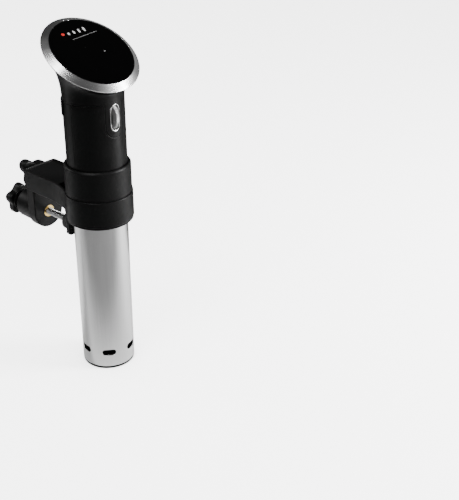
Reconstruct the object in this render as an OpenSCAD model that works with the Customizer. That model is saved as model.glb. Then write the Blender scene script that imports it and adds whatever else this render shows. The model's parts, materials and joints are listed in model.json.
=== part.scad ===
// Sous vide circulator: a steel-skirted pump and heater with a slanted round display,
// a scroll wheel, and a pot clamp that slides and turns on the body.
// Millimetres. +Z is up, the display and the wheel face -Y, the clamp arm points to +Y.
// The origin is the middle of the base face.

/* [Lengths] */
// Length of the steel skirt with its base cap, from the base to the plastic body
skirt_len = 174; // [150:1:210]
// Length of the plastic body, up to the seam below the head
body_len = 131.5; // [109:0.5:160]
// Rise of the head, from the seam to the top of the display rim
head_rise = 69.5; // [58:0.5:84]

/* [Body] */
// Outer radius of the plastic body
body_r = 31; // [27:0.5:37]
// Wall of the plastic body and head
body_wall = 2.4; // [1.8:0.1:3]
// Half angle of the front shell, measured from the front
shell_half_angle = 85.5; // [70:0.5:89]
// Width of the gap lines between the shells
seam_gap = 0.3; // [0.1:0.05:0.5]
// Height of the raised vent band below the seam
vent_h = 15.5; // [13.5:0.5:20]
// How far the vent band stands proud
vent_proud = 1.1; // [0.5:0.1:1.6]
// Number of louvres on each side of the vent band
vent_slots = 6; // [3:1:7]

/* [Display head] */
// Tilt of the display towards the front, in degrees
display_tilt = 32.8; // [26:0.2:36]
// Outer radius of the display rim
bezel_r = 49.8; // [46:0.2:54]
// Width of the sloped face of the rim
bezel_w = 6.8; // [4:0.2:8]
// Rise of the glass above the rim's widest edge
bezel_rise = 4.1; // [3.2:0.1:5]
// How far the middle of the rim lies in front of the body's axis
bezel_forward = 0.6; // [0:0.1:3]
// Thickness of the display glass
glass_t = 1.9; // [1.2:0.1:2.2]

/* [Scroll wheel] */
// Radius of the wheel
wheel_r = 17; // [14:0.5:18]
// Width of the wheel
wheel_w = 9; // [7:0.5:10]
// How far the wheel stands out of the body
wheel_proud = 4; // [2:0.5:5]
// Depth of the wheel's middle below the head seam
wheel_drop = 14.3; // [14.3:0.1:17]
// Width of the bright trim around the wheel
trim_w = 12; // [11.4:0.2:13]
// Height of the bright trim around the wheel
trim_h = 28.2; // [26.4:0.2:28.2]
// Width of the tongue of the head shell that carries the wheel
tongue_w = 21.7; // [18:0.1:24]
// Radius of the wheel's axle
axle_r = 2; // [1.5:0.1:2.5]

/* [Pump and heater] */
// Thickness of the steel skirt's sheet
skirt_t = 1; // [0.6:0.1:1.4]
// Step in from the plastic body to the skirt
skirt_step = 2.5; // [2:0.1:3.5]
// Number of water slots around the skirt
slot_count = 6; // [3:1:8]
// Length of a water slot around the skirt
slot_len = 15; // [10:0.5:16]
// Height of a water slot
slot_h = 7; // [4:0.5:9]
// Height of the slots' middle above the base
slot_z = 21; // [18:0.5:24]
// Radius of the drive shaft
shaft_r = 2.5; // [2:0.1:3]
// Radius of the impeller
impeller_r = 17; // [13:0.5:19]
// Number of impeller blades
impeller_blades = 6; // [4:1:8]
// Radius of the heater's tube
heater_r = 3.2; // [2.5:0.1:3.6]
// Length of the heater below the bulkhead
heater_len = 98; // [70:1:104]
// Radius of the motor
motor_r = 18; // [15:0.5:20]
// Length of the motor
motor_len = 32; // [26:0.5:34]
// Radius of the cooling fan
fan_r = 20; // [16:0.5:22]

/* [Clamp] */
// Height of the collar that grips the body
collar_h = 60.4; // [52:0.2:70]
// Wall of the collar above the ring
collar_wall = 3.1; // [2.6:0.1:4]
// Height of the clamp ring
ring_h = 27.9; // [26:0.1:32]
// Wall of the clamp ring
ring_wall = 2.1; // [1.8:0.1:3]
// Half width of the clamp arm
arm_half_w = 21.8; // [19:0.2:24]
// Reach of the arm beyond the ring
arm_reach = 64; // [56:0.2:75]
// Height of the arm's side walls
arm_h = 22.4; // [19:0.2:24]
// Radius of the hollow corner between ring and arm
arm_fillet = 80; // [35:1:90]
// Half width of the leg, which ends in a half circle around the pot screw
leg_r = 19; // [16:0.5:21]
// Length of the boss on the leg's outer face
boss_t = 25; // [13.5:0.5:28]
// Radius of the boss on the leg's outer face
boss_r = 17; // [12:0.5:19]
// Height of the pot screw below the lock screw
screw_spacing = 41.5; // [38:0.5:46]
// Drop of the lock screw below the arm's top
lock_drop = 12; // [11:0.2:14]
// Radius of the pot screw
pot_screw_r = 4; // [3:0.1:4.5]
// Radius of the lock screw
lock_screw_r = 3; // [2.5:0.1:3.4]
// Outer radius of the lobed knobs
knob_r = 18; // [16:0.2:20]
// Count of lobes on the pot screw's knob
pot_lobes = 5; // [3:1:6]
// Count of lobes on the lock screw's knob
lock_lobes = 3; // [3:1:6]
// Thickness of the knobs
knob_t = 12; // [10:0.5:12.5]
// Clear width of the jaw, from the inner pad to the screw's pad
jaw_open = 5; // [4.5:0.5:20]
// Clearance of the screws and the shafts in their bores
run_gap = 0.05; // [0.02:0.01:0.08]
// Clearance between parts that move past each other
move_gap = 0.3; // [0.25:0.05:0.4]

/* [Hidden] */
$fn = 96;
eps = 0.01;
// How far a piece is let into the one that it grows out of
weld = 0.1;
big = 400;

body_z = skirt_len;
seam_z = body_z + body_len;
total_h = seam_z + head_rise;
body_in = body_r - body_wall;

// Steel skirt and base cap
skirt_r = body_r - skirt_step;
skirt_in = skirt_r - skirt_t;
cap_h = 3;
cap_floor = 2.4;
cap_wall = 2;
cap_spigot = 9;
cap_hole_y = -17;
cap_hole_w = 8;
cap_hole_len = 24;
skirt_z0 = cap_h + 0.2;
skirt_z1 = body_z - 0.2;
slot_start = -40;

// Bulkhead between the wet end and the dry body
spigot_len = 16;
bulk_t = 10;
bulk_z0 = body_z - spigot_len;
bulk_z1 = body_z + bulk_t;
spigot_r = skirt_in - move_gap;
ring_seal_r = 1.2;
ring_seal_z = bulk_z0 + spigot_len / 2;
shaft_seal_r = 7;
shaft_seal_h = 6;
seal_squeeze = 0.2;
bulk_screw_r = 1.5;
bulk_head_r = 2.7;
bulk_head_h = 2;
bulk_socket = 4;

// Vent band and the cord's inlet behind the head
vent_angle = 68;
louvre_start = 20;
louvre_span = 42;
louvre_w = 2;
gland_r = 6.5;
gland_bore = 3.6;
gland_flange = 1.4;
gland_flange_t = 2.4;
gland_y = body_in - 4;
gland_proud = 5;
louvre_rim = 5;
gland_z = seam_z - vent_h / 2;

// Wheel, and the motor stack that hangs below it
wheel_z = seam_z - wheel_drop;
wheel_y = -(body_r + wheel_proud - wheel_r);
trim_rim = 1.2;
trim_proud = 0.45;
trim_depth = 1.2;
wheel_hub_r = axle_r + 3;
wheel_rim_t = 3.5;
wheel_recess = 1.5;
wheel_flat = 2;
wheel_crown_w = 2.5;
wheel_crown_mid = 1.2;
wheel_crown_drop = 0.6;
ear_x = wheel_w / 2 + 0.8;
ear_t = 2.2;
ear_half = 5;
web_t = 2.5;
web_half = 9;
encoder_half = 4.5;
encoder_t = 3.2;
chassis_t = 2.5;
chassis_z = wheel_z - wheel_r - 6.2;
fan_h = 8;
fan_z = chassis_z - 3 - fan_h;
motor_z1 = fan_z - 3;
motor_z0 = motor_z1 - motor_len;
mount_t = 3;
mount_z = motor_z0 - mount_t;
post_r = 2.5;
post_at = body_in - 6;
can_wall = 2;
bearing_r = 5;
bearing_t = 2;
winding_gap = 4;
fan_hub_r = 6;
fan_blades = 7;
fan_pitch = 35;
fan_blade_t = 1.4;
fan_blade_w = 6.8;

// Boards and what stands on them
rail_in = 8;
rail_w = 3;
rail_d = 6;
rail_h = 40;
airway_at = 13;
airway_r = 3;
board_in = 6.5;
board_below_rim = 12;
cap_r = 4.6;
cap_len = 13;
cap_pitch = 11;
cap_up = 60;
parts_up = 12;
transformer_size = [18, 14, 16];
sink_w = 9;
sink_t = 2;
sink_h = 24;
fins = 4;
fin_pitch = 2.5;
fin_t = 1.2;
beeper_r = 6;
beeper_t = 5;
rotor_gap = 1;

// Wet end
impeller_h = 11;
impeller_disc_t = 1.6;
impeller_hub_r = 5;
impeller_blade_t = 1.6;
pump_port_r = 4;
heater_turn = 30;
heater_share = 0.62;
rod_len = 70;
rod_turn = 8;
probe_len = 112;
probe_turn = -30;
impeller_z = slot_z + 1;
pump_plate_t = 2;
tube_r = 6;
tube_in = 4.4;
tube_z0 = impeller_z + impeller_h + 4;
bush_h = 8;
heater_at = (skirt_in + tube_r) / 2;
heater_bend = heater_at * sin(heater_turn) * heater_share;
probe_r = 2.4;
rod_r = 1.5;

// Display frame
bezel_lip = 2.2;
bezel_edge = 0.8;
glass_r = bezel_r - bezel_w - 0.15;
seat_r = glass_r - 2.3;
seat_h = bezel_rise - glass_t - 0.4;
rim_c = [0, -bezel_forward, total_h - bezel_r * sin(display_tilt)];
head_top_r = bezel_r - 1.4;
board_y = 4;
board_t = 1.6;
head_power = 4.5;
rear_bulge = 1.1;
lining_power = 8;
lining_in = 3;
rim_seat_w = 1.6;
tongue_below_trim = 6.4;
plug_size = [18, 6, 5];
display_board_in = 6;
display_core_in = 10;
board_gap = 0.8;
gasket_gap = 0.3;

// Clamp
collar_z = body_z + 3;
collar_z1 = collar_z + collar_h;
collar_in = body_r + move_gap;
collar_r = body_r + move_gap + collar_wall;
collar_chamfer = 1.4;
neck_r = collar_r - collar_chamfer;
ring_z = collar_z + move_gap;
ring_z1 = ring_z + ring_h;
ring_in = neck_r + move_gap;
ring_r = ring_in + ring_wall;
snap_h = 2.4;
snap_in = 0.6;
collar_slope = 2;
slit_turn = 35;
slit_w = 2;
arm_end = ring_r + arm_reach;
tray_d = 1.2;
arm_z1 = ring_z1 + tray_d;
arm_z0 = arm_z1 - arm_h;
arm_wall = 2.5;
arm_deck = 2.3;
tray_rim = 2;
end_block = 12;
leg_y0 = arm_end - end_block;
leg_y1 = arm_end + boss_t;
lock_z = arm_z1 - lock_drop;
pot_z = lock_z - screw_spacing;
jaw_t = 6;
jaw_block = 10;
jaw_drop = 9;
pad_inset = 1;
jaw_y = ring_r + 5.7;
jaw_pad_t = 2;
jaw_half_w = 14;
jaw_z0 = pot_z - jaw_drop;
pot_pad_r = 10;
pot_pad_t = 6;
pot_pad_y = jaw_y + jaw_pad_t + jaw_open;
pot_knob_gap = 3.5;
pot_knob_y = leg_y1 + jaw_open + pot_knob_gap;
lock_pad_r = 6;
lock_pad_t = 4.7;
lock_pad_y = neck_r + move_gap;
lock_knob_gap = 5.8;
lock_knob_y = arm_end + lock_knob_gap;
pot_knob_turn = -16;
lock_knob_turn = -12;
insert_wall = 2.6;
insert_len = 9;
screw_room = 0.5;
pad_floor = 2;
knob_floor = 3;
pot_lobe_r = 5.2;
pot_hub_r = 13.6;
lock_lobe_r = 6.6;
lock_hub_r = 9.2;

black = [0.07, 0.07, 0.08];
steel = [0.72, 0.73, 0.74];

// ---- helpers ----

// A tube between two radii and two heights
module tube(r_out, r_in, z0, z1) {
    translate([0, 0, z0]) difference() {
        cylinder(r = r_out, h = z1 - z0);
        translate([0, 0, -1]) cylinder(r = r_in, h = z1 - z0 + 2);
    }
}

// A rod along Z
module rod(r, z0, z1) {
    translate([0, 0, z0]) cylinder(r = r, h = z1 - z0);
}

// A rod along Y at a height
module y_rod(r, y0, y1, z) {
    translate([0, y1, z]) rotate([90, 0, 0]) cylinder(r = r, h = y1 - y0);
}

// A 2D outline in X and Z, carried along Y
module along_y(y0, y1) {
    translate([0, y1, 0]) rotate([90, 0, 0]) linear_extrude(y1 - y0) children();
}

// An oblong with round ends, its long side along the second axis
module oblong(w, h) {
    square([w, h - w], center = true);
    for (side = [-1, 1]) translate([0, side * (h - w) / 2]) circle(d = w);
}

// A wedge about Z, from angle -a to a about the front, a under 90 degrees
module front_wedge(a) {
    linear_extrude(big * 2, center = true)
        polygon([[0, 0], [-big * sin(a), -big * cos(a)], [-big * sin(a), -big],
            [big * sin(a), -big], [big * sin(a), -big * cos(a)]]);
}

// The wedge behind: everything more than an angle b from the rear is left out
module rear_wedge(b) {
    rotate([0, 0, 180]) front_wedge(b);
}

// Whatever belongs to the display, in the rim's own frame
module on_display() {
    translate(rim_c) rotate([display_tilt, 0, 0]) children();
}

// ---- head ----

function rim_point(a, r, h) = rim_c + r * [cos(a), sin(a) * cos(display_tilt), sin(a) * sin(display_tilt)]
    + h * [0, -sin(display_tilt), cos(display_tilt)];

// Share of the flare that is done at height share s: late and sharp in front, early and long behind
function flare(s, rear, front_power) =
    rear * s * s * (1 + rear_bulge * s * (1 - s)) + (1 - rear) * pow(s, front_power);

function head_point(a, s, r0, r1, h1, power) =
    let (low = [r0 * cos(a), r0 * sin(a), seam_z + seam_gap / 2], high = rim_point(a, r1, h1))
    let (f = flare(s, (1 + sin(a)) / 2, power))
    [low.x + (high.x - low.x) * f, low.y + (high.y - low.y) * f, low.z + (high.z - low.z) * s];

head_cols = 60;
head_rows = 9;
head_skin = [for (i = [0 : head_rows], k = [0 : head_cols - 1])
    head_point(k * 360 / head_cols, i / head_rows, body_r, head_top_r, -bezel_lip, head_power)];
head_lining = [for (i = [0 : head_rows], k = [0 : head_cols - 1])
    head_point(k * 360 / head_cols, i / head_rows, body_in, head_top_r - lining_in,
        -bezel_lip, lining_power)];
lining_at = (head_rows + 1) * head_cols;
function grid(i, k) = i * head_cols + k % head_cols;
head_faces = concat(
    [for (i = [0 : head_rows - 1], k = [0 : head_cols - 1]) each [
        [grid(i, k), grid(i + 1, k), grid(i + 1, k + 1)],
        [grid(i, k), grid(i + 1, k + 1), grid(i, k + 1)],
        [lining_at + grid(i, k), lining_at + grid(i + 1, k + 1), lining_at + grid(i + 1, k)],
        [lining_at + grid(i, k), lining_at + grid(i, k + 1), lining_at + grid(i + 1, k + 1)]]],
    [for (k = [0 : head_cols - 1]) each [
        [grid(0, k), grid(0, k + 1), lining_at + grid(0, k + 1)],
        [grid(0, k), lining_at + grid(0, k + 1), lining_at + grid(0, k)],
        [grid(head_rows, k), lining_at + grid(head_rows, k + 1), grid(head_rows, k + 1)],
        [grid(head_rows, k), lining_at + grid(head_rows, k), lining_at + grid(head_rows, k + 1)]]]);

// Outline of the tongue that hangs from the head shell around the wheel
module tongue_outline(grow) {
    round_r = tongue_w / 2 + grow;
    centre_z = wheel_z - trim_h / 2 - tongue_below_trim + tongue_w / 2;
    translate([0, centre_z]) circle(r = round_r);
    translate([-round_r, centre_z]) square([2 * round_r, seam_z + 1 - centre_z]);
}

module trim_opening(grow) {
    translate([0, wheel_z]) oblong(trim_w + 2 * grow, trim_h + 2 * grow);
}

module head_shell() {
    color(black) union() {
        polyhedron(points = concat(head_skin, head_lining), faces = head_faces, convexity = 6);
        difference() {
            intersection() {
                tube(body_r - weld, body_in + weld, wheel_z - trim_h, seam_z + 1);
                along_y(-body_r - 1, 0) tongue_outline(0);
            }
            along_y(-body_r - 5, 0) trim_opening(0);
        }
    }
}

module bezel_ring() {
    color([0.75, 0.76, 0.77]) on_display() rotate_extrude() polygon([
        [seat_r, -bezel_lip], [bezel_r - rim_seat_w, -bezel_lip], [bezel_r, -bezel_edge / 2],
        [bezel_r, bezel_edge / 2], [bezel_r - bezel_w, bezel_rise],
        [glass_r + 0.05, bezel_rise], [glass_r + 0.05, seat_h], [seat_r, seat_h]]);
}

module glass_gasket() {
    color([0.1, 0.1, 0.1]) on_display()
        tube(glass_r - gasket_gap, seat_r + gasket_gap, seat_h, bezel_rise - glass_t);
}

module display_glass() {
    color([0.02, 0.02, 0.03]) on_display() rod(glass_r, bezel_rise - glass_t, bezel_rise);
}

module display_board() {
    color([0.08, 0.3, 0.16]) on_display() union() {
        rod(seat_r - display_board_in, -bezel_lip - board_gap - board_t, -bezel_lip - board_gap);
        rod(seat_r - display_core_in, -bezel_lip - board_gap, bezel_rise - glass_t - 0.5);
    }
}

module ribbon_plug() {
    color([0.85, 0.85, 0.8]) on_display()
        translate([-plug_size.x / 2, -plug_size.y / 2, -bezel_lip - board_gap - board_t - plug_size.z])
            cube(plug_size);
}

// ---- body ----

module body_front_shell() {
    color(black) difference() {
        intersection() {
            tube(body_r, body_in, body_z, seam_z - seam_gap / 2);
            front_wedge(shell_half_angle - seam_gap / 2);
        }
        along_y(-body_r - 1, 0) tongue_outline(seam_gap);
    }
}

// The vent's louvres, through the band and the shell behind it
module louvres() {
    for (side = [-1, 1], i = [0 : vent_slots - 1])
        rotate([0, 0, side * (louvre_start + i * louvre_span / (vent_slots - 1))])
            along_y(body_in - 1, body_r + 5) translate([0, gland_z]) oblong(louvre_w, vent_h - louvre_rim);
}

module body_rear_shell() {
    color(black) difference() {
        tube(body_r, body_in, body_z, seam_z - seam_gap / 2);
        front_wedge(shell_half_angle);
        y_rod(gland_r, 0, big, gland_z);
        louvres();
    }
}

module rear_vent() {
    color(black) difference() {
        intersection() {
            tube(body_r + vent_proud, body_r, seam_z - vent_h, seam_z - seam_gap / 2);
            rear_wedge(vent_angle);
        }
        y_rod(gland_r, 0, big, gland_z);
        louvres();
    }
}

module cord_inlet() {
    color([0.05, 0.05, 0.05]) difference() {
        union() {
            y_rod(gland_r, gland_y, body_r + gland_proud, gland_z);
            y_rod(gland_r + gland_flange, gland_y, gland_y + gland_flange_t, gland_z);
        }
        y_rod(gland_bore, 0, big, gland_z);
    }
}

// ---- scroll wheel ----

module wheel_trim() {
    color(steel) intersection() {
        tube(body_r + trim_proud, body_r - trim_depth, wheel_z - trim_h, wheel_z + trim_h);
        along_y(-body_r - 5, 0) difference() {
            trim_opening(0);
            trim_opening(-trim_rim);
        }
    }
}

module at_axle() {
    translate([0, wheel_y, wheel_z]) rotate([0, 90, 0]) children();
}

module scroll_wheel() {
    half = wheel_w / 2;
    color([0.6, 0.61, 0.62]) at_axle() rotate_extrude() polygon([
        [axle_r, half], [wheel_hub_r, half], [wheel_hub_r, half - wheel_recess],
        [wheel_r - wheel_rim_t, half - wheel_recess], [wheel_r - wheel_rim_t, half],
        [wheel_r - wheel_flat, half], [wheel_r - wheel_crown_drop, half - wheel_crown_mid],
        [wheel_r, half - wheel_crown_w], [wheel_r, wheel_crown_w - half],
        [wheel_r - wheel_crown_drop, wheel_crown_mid - half], [wheel_r - wheel_flat, -half],
        [wheel_r - wheel_rim_t, -half], [wheel_r - wheel_rim_t, wheel_recess - half],
        [wheel_hub_r, wheel_recess - half], [wheel_hub_r, -half], [axle_r, -half]]);
}

module wheel_axle() {
    color(steel) at_axle() cylinder(r = axle_r, h = 2 * (ear_x + ear_t + 2), center = true);
}

module wheel_bracket() {
    color([0.2, 0.2, 0.22]) difference() {
        union() {
            for (side = [-1, 1])
                translate([side * (ear_x + ear_t / 2) - ear_t / 2, wheel_y - ear_half, wheel_z - ear_half])
                    cube([ear_t, board_y - wheel_y + ear_half, 2 * ear_half]);
            translate([-ear_x - ear_t, board_y - web_t, wheel_z - web_half])
                cube([2 * (ear_x + ear_t), web_t, 2 * web_half]);
        }
        at_axle() cylinder(r = axle_r + run_gap, h = big, center = true);
    }
}

module wheel_encoder() {
    color([0.1, 0.2, 0.35]) difference() {
        translate([ear_x + ear_t, wheel_y - encoder_half, wheel_z - encoder_half])
            cube([encoder_t, 2 * encoder_half, 2 * encoder_half]);
        at_axle() cylinder(r = axle_r + run_gap, h = big, center = true);
    }
}

// ---- inside the body ----

module chassis() {
    color([0.25, 0.25, 0.27]) difference() {
        union() {
            rod(body_in, chassis_z, chassis_z + chassis_t);
            for (side = [-1, 1])
                on_board_back(side * (body_in - rail_in) - rail_w / 2, chassis_z)
                    cube([rail_w, rail_d, rail_h]);
        }
        for (a = [45 : 90 : 315]) rotate([0, 0, a]) translate([post_at, 0, 0]) rod(post_r, 0, big);
        for (a = [0 : 60 : 300]) rotate([0, 0, a]) translate([airway_at, 0, 0]) rod(airway_r, 0, big);
    }
}

module main_board() {
    color([0.08, 0.32, 0.18])
        translate([-body_in + board_in, board_y, chassis_z + chassis_t])
            cube([2 * (body_in - board_in), board_t, rim_c.z - board_below_rim - chassis_z - chassis_t]);
}

module on_board_back(x, z) {
    translate([x, board_y + board_t, z]) children();
}

module capacitors() {
    color([0.15, 0.18, 0.35]) for (i = [0 : 2])
        on_board_back(-parts_up + i * cap_pitch, chassis_z + cap_up)
            rotate([-90, 0, 0]) cylinder(r = cap_r, h = cap_len);
}

module transformer() {
    color([0.8, 0.7, 0.25]) on_board_back(-airway_at, chassis_z + parts_up) cube(transformer_size);
}

module heat_sink() {
    color([0.6, 0.6, 0.62]) on_board_back(rail_in, chassis_z + parts_up) union() {
        cube([sink_w, sink_t, sink_h]);
        for (i = [0 : fins - 1]) translate([i * fin_pitch, sink_t - eps, 0]) cube([fin_t, sink_w, sink_h]);
    }
}

module beeper() {
    color([0.05, 0.05, 0.05]) y_rod(beeper_r, board_y - beeper_t, board_y, seam_z + parts_up);
}

module motor_can() {
    color([0.55, 0.56, 0.58]) difference() {
        rod(motor_r, motor_z0, motor_z1);
        rod(motor_r - can_wall, motor_z0 + can_wall, motor_z1 - can_wall);
        rod(bearing_r, 0, big);
    }
}

module motor_bearing() {
    color(steel) for (z = [motor_z0, motor_z1 - bearing_t]) difference() {
        rod(bearing_r, z, z + bearing_t);
        rod(shaft_r + run_gap, 0, big);
    }
}

module motor_mount() {
    color([0.3, 0.3, 0.32]) difference() {
        union() {
            rod(body_in, mount_z, mount_z + mount_t);
            for (a = [45 : 90 : 315]) rotate([0, 0, a]) translate([post_at, 0, 0])
                rod(post_r, bulk_z1, chassis_z + chassis_t);
        }
        rod(shaft_r + 1, 0, big);
    }
}

module rotor() {
    color([0.7, 0.4, 0.2]) difference() {
        rod(motor_r - can_wall - rotor_gap, motor_z0 + winding_gap, motor_z1 - winding_gap);
        rod(shaft_r, 0, big);
    }
}

module drive_shaft() {
    color(steel) rod(shaft_r, impeller_z, fan_z + fan_h);
}

module cooling_fan() {
    color([0.15, 0.15, 0.16]) difference() {
        union() {
            rod(fan_hub_r, fan_z, fan_z + fan_h);
            for (a = [0 : 360 / fan_blades : 359]) rotate([0, 0, a])
                translate([fan_hub_r - 1, 0, fan_z + fan_h / 2]) rotate([fan_pitch, 0, 0])
                    translate([0, -fan_blade_t / 2, -fan_blade_w / 2])
                        cube([fan_r - fan_hub_r + 0.5, fan_blade_t, fan_blade_w]);
        }
        rod(shaft_r, 0, big);
    }
}

module bulkhead() {
    color([0.16, 0.16, 0.17]) difference() {
        union() {
            rod(spigot_r, bulk_z0, body_z);
            rod(body_in, body_z, bulk_z1);
        }
        tube(skirt_r, spigot_r - 2 * ring_seal_r + seal_squeeze,
            ring_seal_z - ring_seal_r, ring_seal_z + ring_seal_r);
        rod(shaft_r + 0.5, 0, big);
        rod(shaft_seal_r, bulk_z1 - shaft_seal_h, big);
        rod(tube_r, 0, bulk_z0 + bulk_socket);
        for (a = [0 : 90 : 270]) rotate([0, 0, a]) translate([post_at, 0, 0])
            rod(bulk_screw_r, bulk_z0 + bulk_socket, big);
    }
}

module bulkhead_screws() {
    color(steel) for (a = [0 : 90 : 270]) rotate([0, 0, a]) translate([post_at, 0, 0]) {
        rod(bulk_screw_r, bulk_z0 + bulk_socket, bulk_z1);
        rod(bulk_head_r, bulk_z1, bulk_z1 + bulk_head_h);
    }
}

module shaft_seal() {
    color([0.1, 0.1, 0.1]) tube(shaft_seal_r, shaft_r + run_gap, bulk_z1 - shaft_seal_h, bulk_z1);
}

module skirt_seal() {
    color([0.35, 0.1, 0.08]) translate([0, 0, ring_seal_z])
        rotate_extrude() translate([spigot_r - ring_seal_r + seal_squeeze, 0]) circle(r = ring_seal_r);
}

module shaft_tube() {
    color(steel) tube(tube_r, tube_in, tube_z0, bulk_z0 + bulk_socket);
}

module shaft_bush() {
    color([0.9, 0.88, 0.8]) tube(tube_in, shaft_r + run_gap, tube_z0, tube_z0 + bush_h);
}

module pump_plate() {
    color([0.14, 0.14, 0.15]) difference() {
        rod(skirt_in - 3, tube_z0, tube_z0 + pump_plate_t);
        rod(tube_r, 0, big);
        for (a = [0 : 60 : 300]) rotate([0, 0, a]) translate([heater_at, 0, 0]) rod(pump_port_r, 0, big);
    }
}

module impeller() {
    color([0.12, 0.12, 0.13]) difference() {
        union() {
            rod(impeller_hub_r, impeller_z, impeller_z + impeller_h);
            rod(impeller_r, impeller_z + impeller_h - impeller_disc_t, impeller_z + impeller_h);
            for (a = [0 : 360 / impeller_blades : 359]) rotate([0, 0, a])
                translate([impeller_hub_r - 1, -impeller_blade_t / 2, impeller_z])
                    cube([impeller_r - impeller_hub_r + 0.6, impeller_blade_t, impeller_h - 1]);
        }
        rod(shaft_r, 0, big);
    }
}

// One tube that runs down and up in three hairpins around the shaft
module heater_element() {
    color([0.62, 0.6, 0.56])
    for (a = [heater_turn : 120 : 270]) rotate([0, 0, a]) translate([heater_at, 0, 0]) {
        for (side = [-1, 1]) translate([0, side * heater_bend, 0])
            rod(heater_r, bulk_z0 - heater_len + heater_bend, bulk_z0);
        translate([0, 0, bulk_z0 - heater_len + heater_bend]) rotate([90, 0, 90]) rotate([0, 0, 180])
            rotate_extrude(angle = 180) translate([heater_bend, 0]) circle(r = heater_r);
    }
}

module level_rods() {
    color(steel) for (a = [-rod_turn, rod_turn]) rotate([0, 0, a + 90]) translate([heater_at, 0, 0])
        rod(rod_r, bulk_z0 - rod_len, bulk_z0);
}

module temperature_probe() {
    color(steel) rotate([0, 0, probe_turn]) translate([heater_at, 0, 0]) union() {
        rod(probe_r, bulk_z0 - probe_len, bulk_z0);
        translate([0, 0, bulk_z0 - probe_len]) sphere(r = probe_r);
    }
}

// ---- skirt and base cap ----

module skirt() {
    color(steel) difference() {
        tube(skirt_r, skirt_in, skirt_z0, skirt_z1);
        for (i = [0 : slot_count - 1]) rotate([0, 0, slot_start + i * 360 / slot_count])
            along_y(-skirt_r - 5, -skirt_in + 8)
                translate([0, slot_z]) rotate(90) oblong(slot_h, slot_len);
    }
}

module base_cap() {
    color([0.1, 0.1, 0.1]) difference() {
        union() {
            rod(skirt_r - move_gap, 0, cap_h);
            rod(skirt_in - move_gap, cap_h - eps, cap_h + cap_spigot);
        }
        rod(skirt_in - move_gap - cap_wall, cap_floor, big);
        translate([0, cap_hole_y, -1]) linear_extrude(cap_h + cap_spigot)
            rotate(90) oblong(cap_hole_w, cap_hole_len);
    }
}

// ---- clamp ----

module clamp_collar() {
    color(black) difference() {
        union() {
            rod(neck_r, collar_z, collar_z1 - 1);
            translate([0, 0, ring_z1 + move_gap]) rotate_extrude() polygon([
                [0, 0], [collar_r, 0], [collar_r, collar_z1 - ring_z1 - move_gap - collar_slope],
                [neck_r, collar_z1 - ring_z1 - move_gap], [0, collar_z1 - ring_z1 - move_gap]]);
        }
        rod(collar_in, 0, big);
        rotate([0, 0, slit_turn]) translate([0, -slit_w / 2, 0]) cube([big, slit_w, big]);
    }
}

module collar_snap_ring() {
    color(black) tube(ring_r - snap_in, collar_in, collar_z - snap_h, collar_z);
}

// Plan of the ring and the arm, with the hollow corners between them
module arm_plan() {
    fillet_x = arm_half_w + arm_fillet - weld;
    fillet_y = sqrt(pow(ring_r + arm_fillet - weld, 2) - pow(fillet_x, 2));
    translate([-arm_half_w, 0]) square([2 * arm_half_w, arm_end]);
    for (side = [-1, 1]) difference() {
        polygon([[0, 0], [side * fillet_x, fillet_y], [0, fillet_y]]);
        translate([side * fillet_x, fillet_y]) circle(r = arm_fillet);
    }
}

module clamp_bracket() {
    color(black) difference() {
        union() {
            rod(ring_r, ring_z, ring_z1);
            translate([0, 0, arm_z0]) linear_extrude(arm_h) arm_plan();
            // leg with a round end
            along_y(leg_y0, arm_end) {
                translate([0, pot_z]) circle(r = leg_r);
                translate([-leg_r, pot_z]) square([2 * leg_r, arm_z0 - pot_z + 1]);
            }
            y_rod(boss_r, arm_end - 1, leg_y1, pot_z);
            // inner jaw
            translate([-jaw_half_w, jaw_y - jaw_t + 1, jaw_z0])
                cube([2 * jaw_half_w, jaw_t - 1, ring_z - jaw_z0]);
            translate([-jaw_half_w, ring_in + 1, ring_z])
                cube([2 * jaw_half_w, jaw_y - ring_in - 1, jaw_block]);
        }
        // the collar's room, and above the ring the collar's shoulder
        rod(ring_in, 0, ring_z1);
        rod(collar_r + move_gap, ring_z1, big);
        // hollow underside
        translate([-arm_half_w + arm_wall, jaw_y + 1, arm_z0 - 1])
            cube([2 * (arm_half_w - arm_wall), leg_y0 - jaw_y - 1, arm_h - arm_deck - tray_d + 1]);
        // shallow tray on top
        translate([-arm_half_w + tray_rim, collar_r + tray_rim, arm_z1 - tray_d])
            cube([2 * (arm_half_w - tray_rim), arm_end - collar_r - 2 * tray_rim, big]);
        // screws and their inserts
        y_rod(lock_pad_r + move_gap, ring_in - 3, jaw_y + 6, lock_z);
        y_rod(lock_screw_r + screw_room, ring_in, big, lock_z);
        y_rod(lock_screw_r + insert_wall, leg_y0 - 1, leg_y0 + insert_len, lock_z);
        y_rod(pot_screw_r + screw_room, jaw_y + 5, big, pot_z);
        y_rod(pot_screw_r + insert_wall, leg_y0 - 1, leg_y0 + insert_len, pot_z);
    }
}

module jaw_pad() {
    color([0.2, 0.2, 0.2]) translate([-jaw_half_w + pad_inset, jaw_y, jaw_z0 + pad_inset])
        cube([2 * (jaw_half_w - pad_inset), jaw_pad_t, arm_z0 - jaw_z0 - 3 * pad_inset]);
}

module insert(screw_r, z) {
    color([0.75, 0.6, 0.3]) difference() {
        y_rod(screw_r + insert_wall, leg_y0, leg_y0 + insert_len, z);
        y_rod(screw_r + run_gap, 0, big, z);
    }
}

module pot_insert() insert(pot_screw_r, pot_z);
module lock_insert() insert(lock_screw_r, lock_z);

module screw_pad(pad_r, pad_t, screw_r, y, z) {
    color([0.12, 0.12, 0.12]) difference() {
        y_rod(pad_r, y, y + pad_t, z);
        y_rod(screw_r + run_gap, y + pad_floor, big, z);
    }
}

module pot_pad() screw_pad(pot_pad_r, pot_pad_t, pot_screw_r, pot_pad_y, pot_z);
module lock_pad() screw_pad(lock_pad_r, lock_pad_t, lock_screw_r, lock_pad_y, lock_z);

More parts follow.
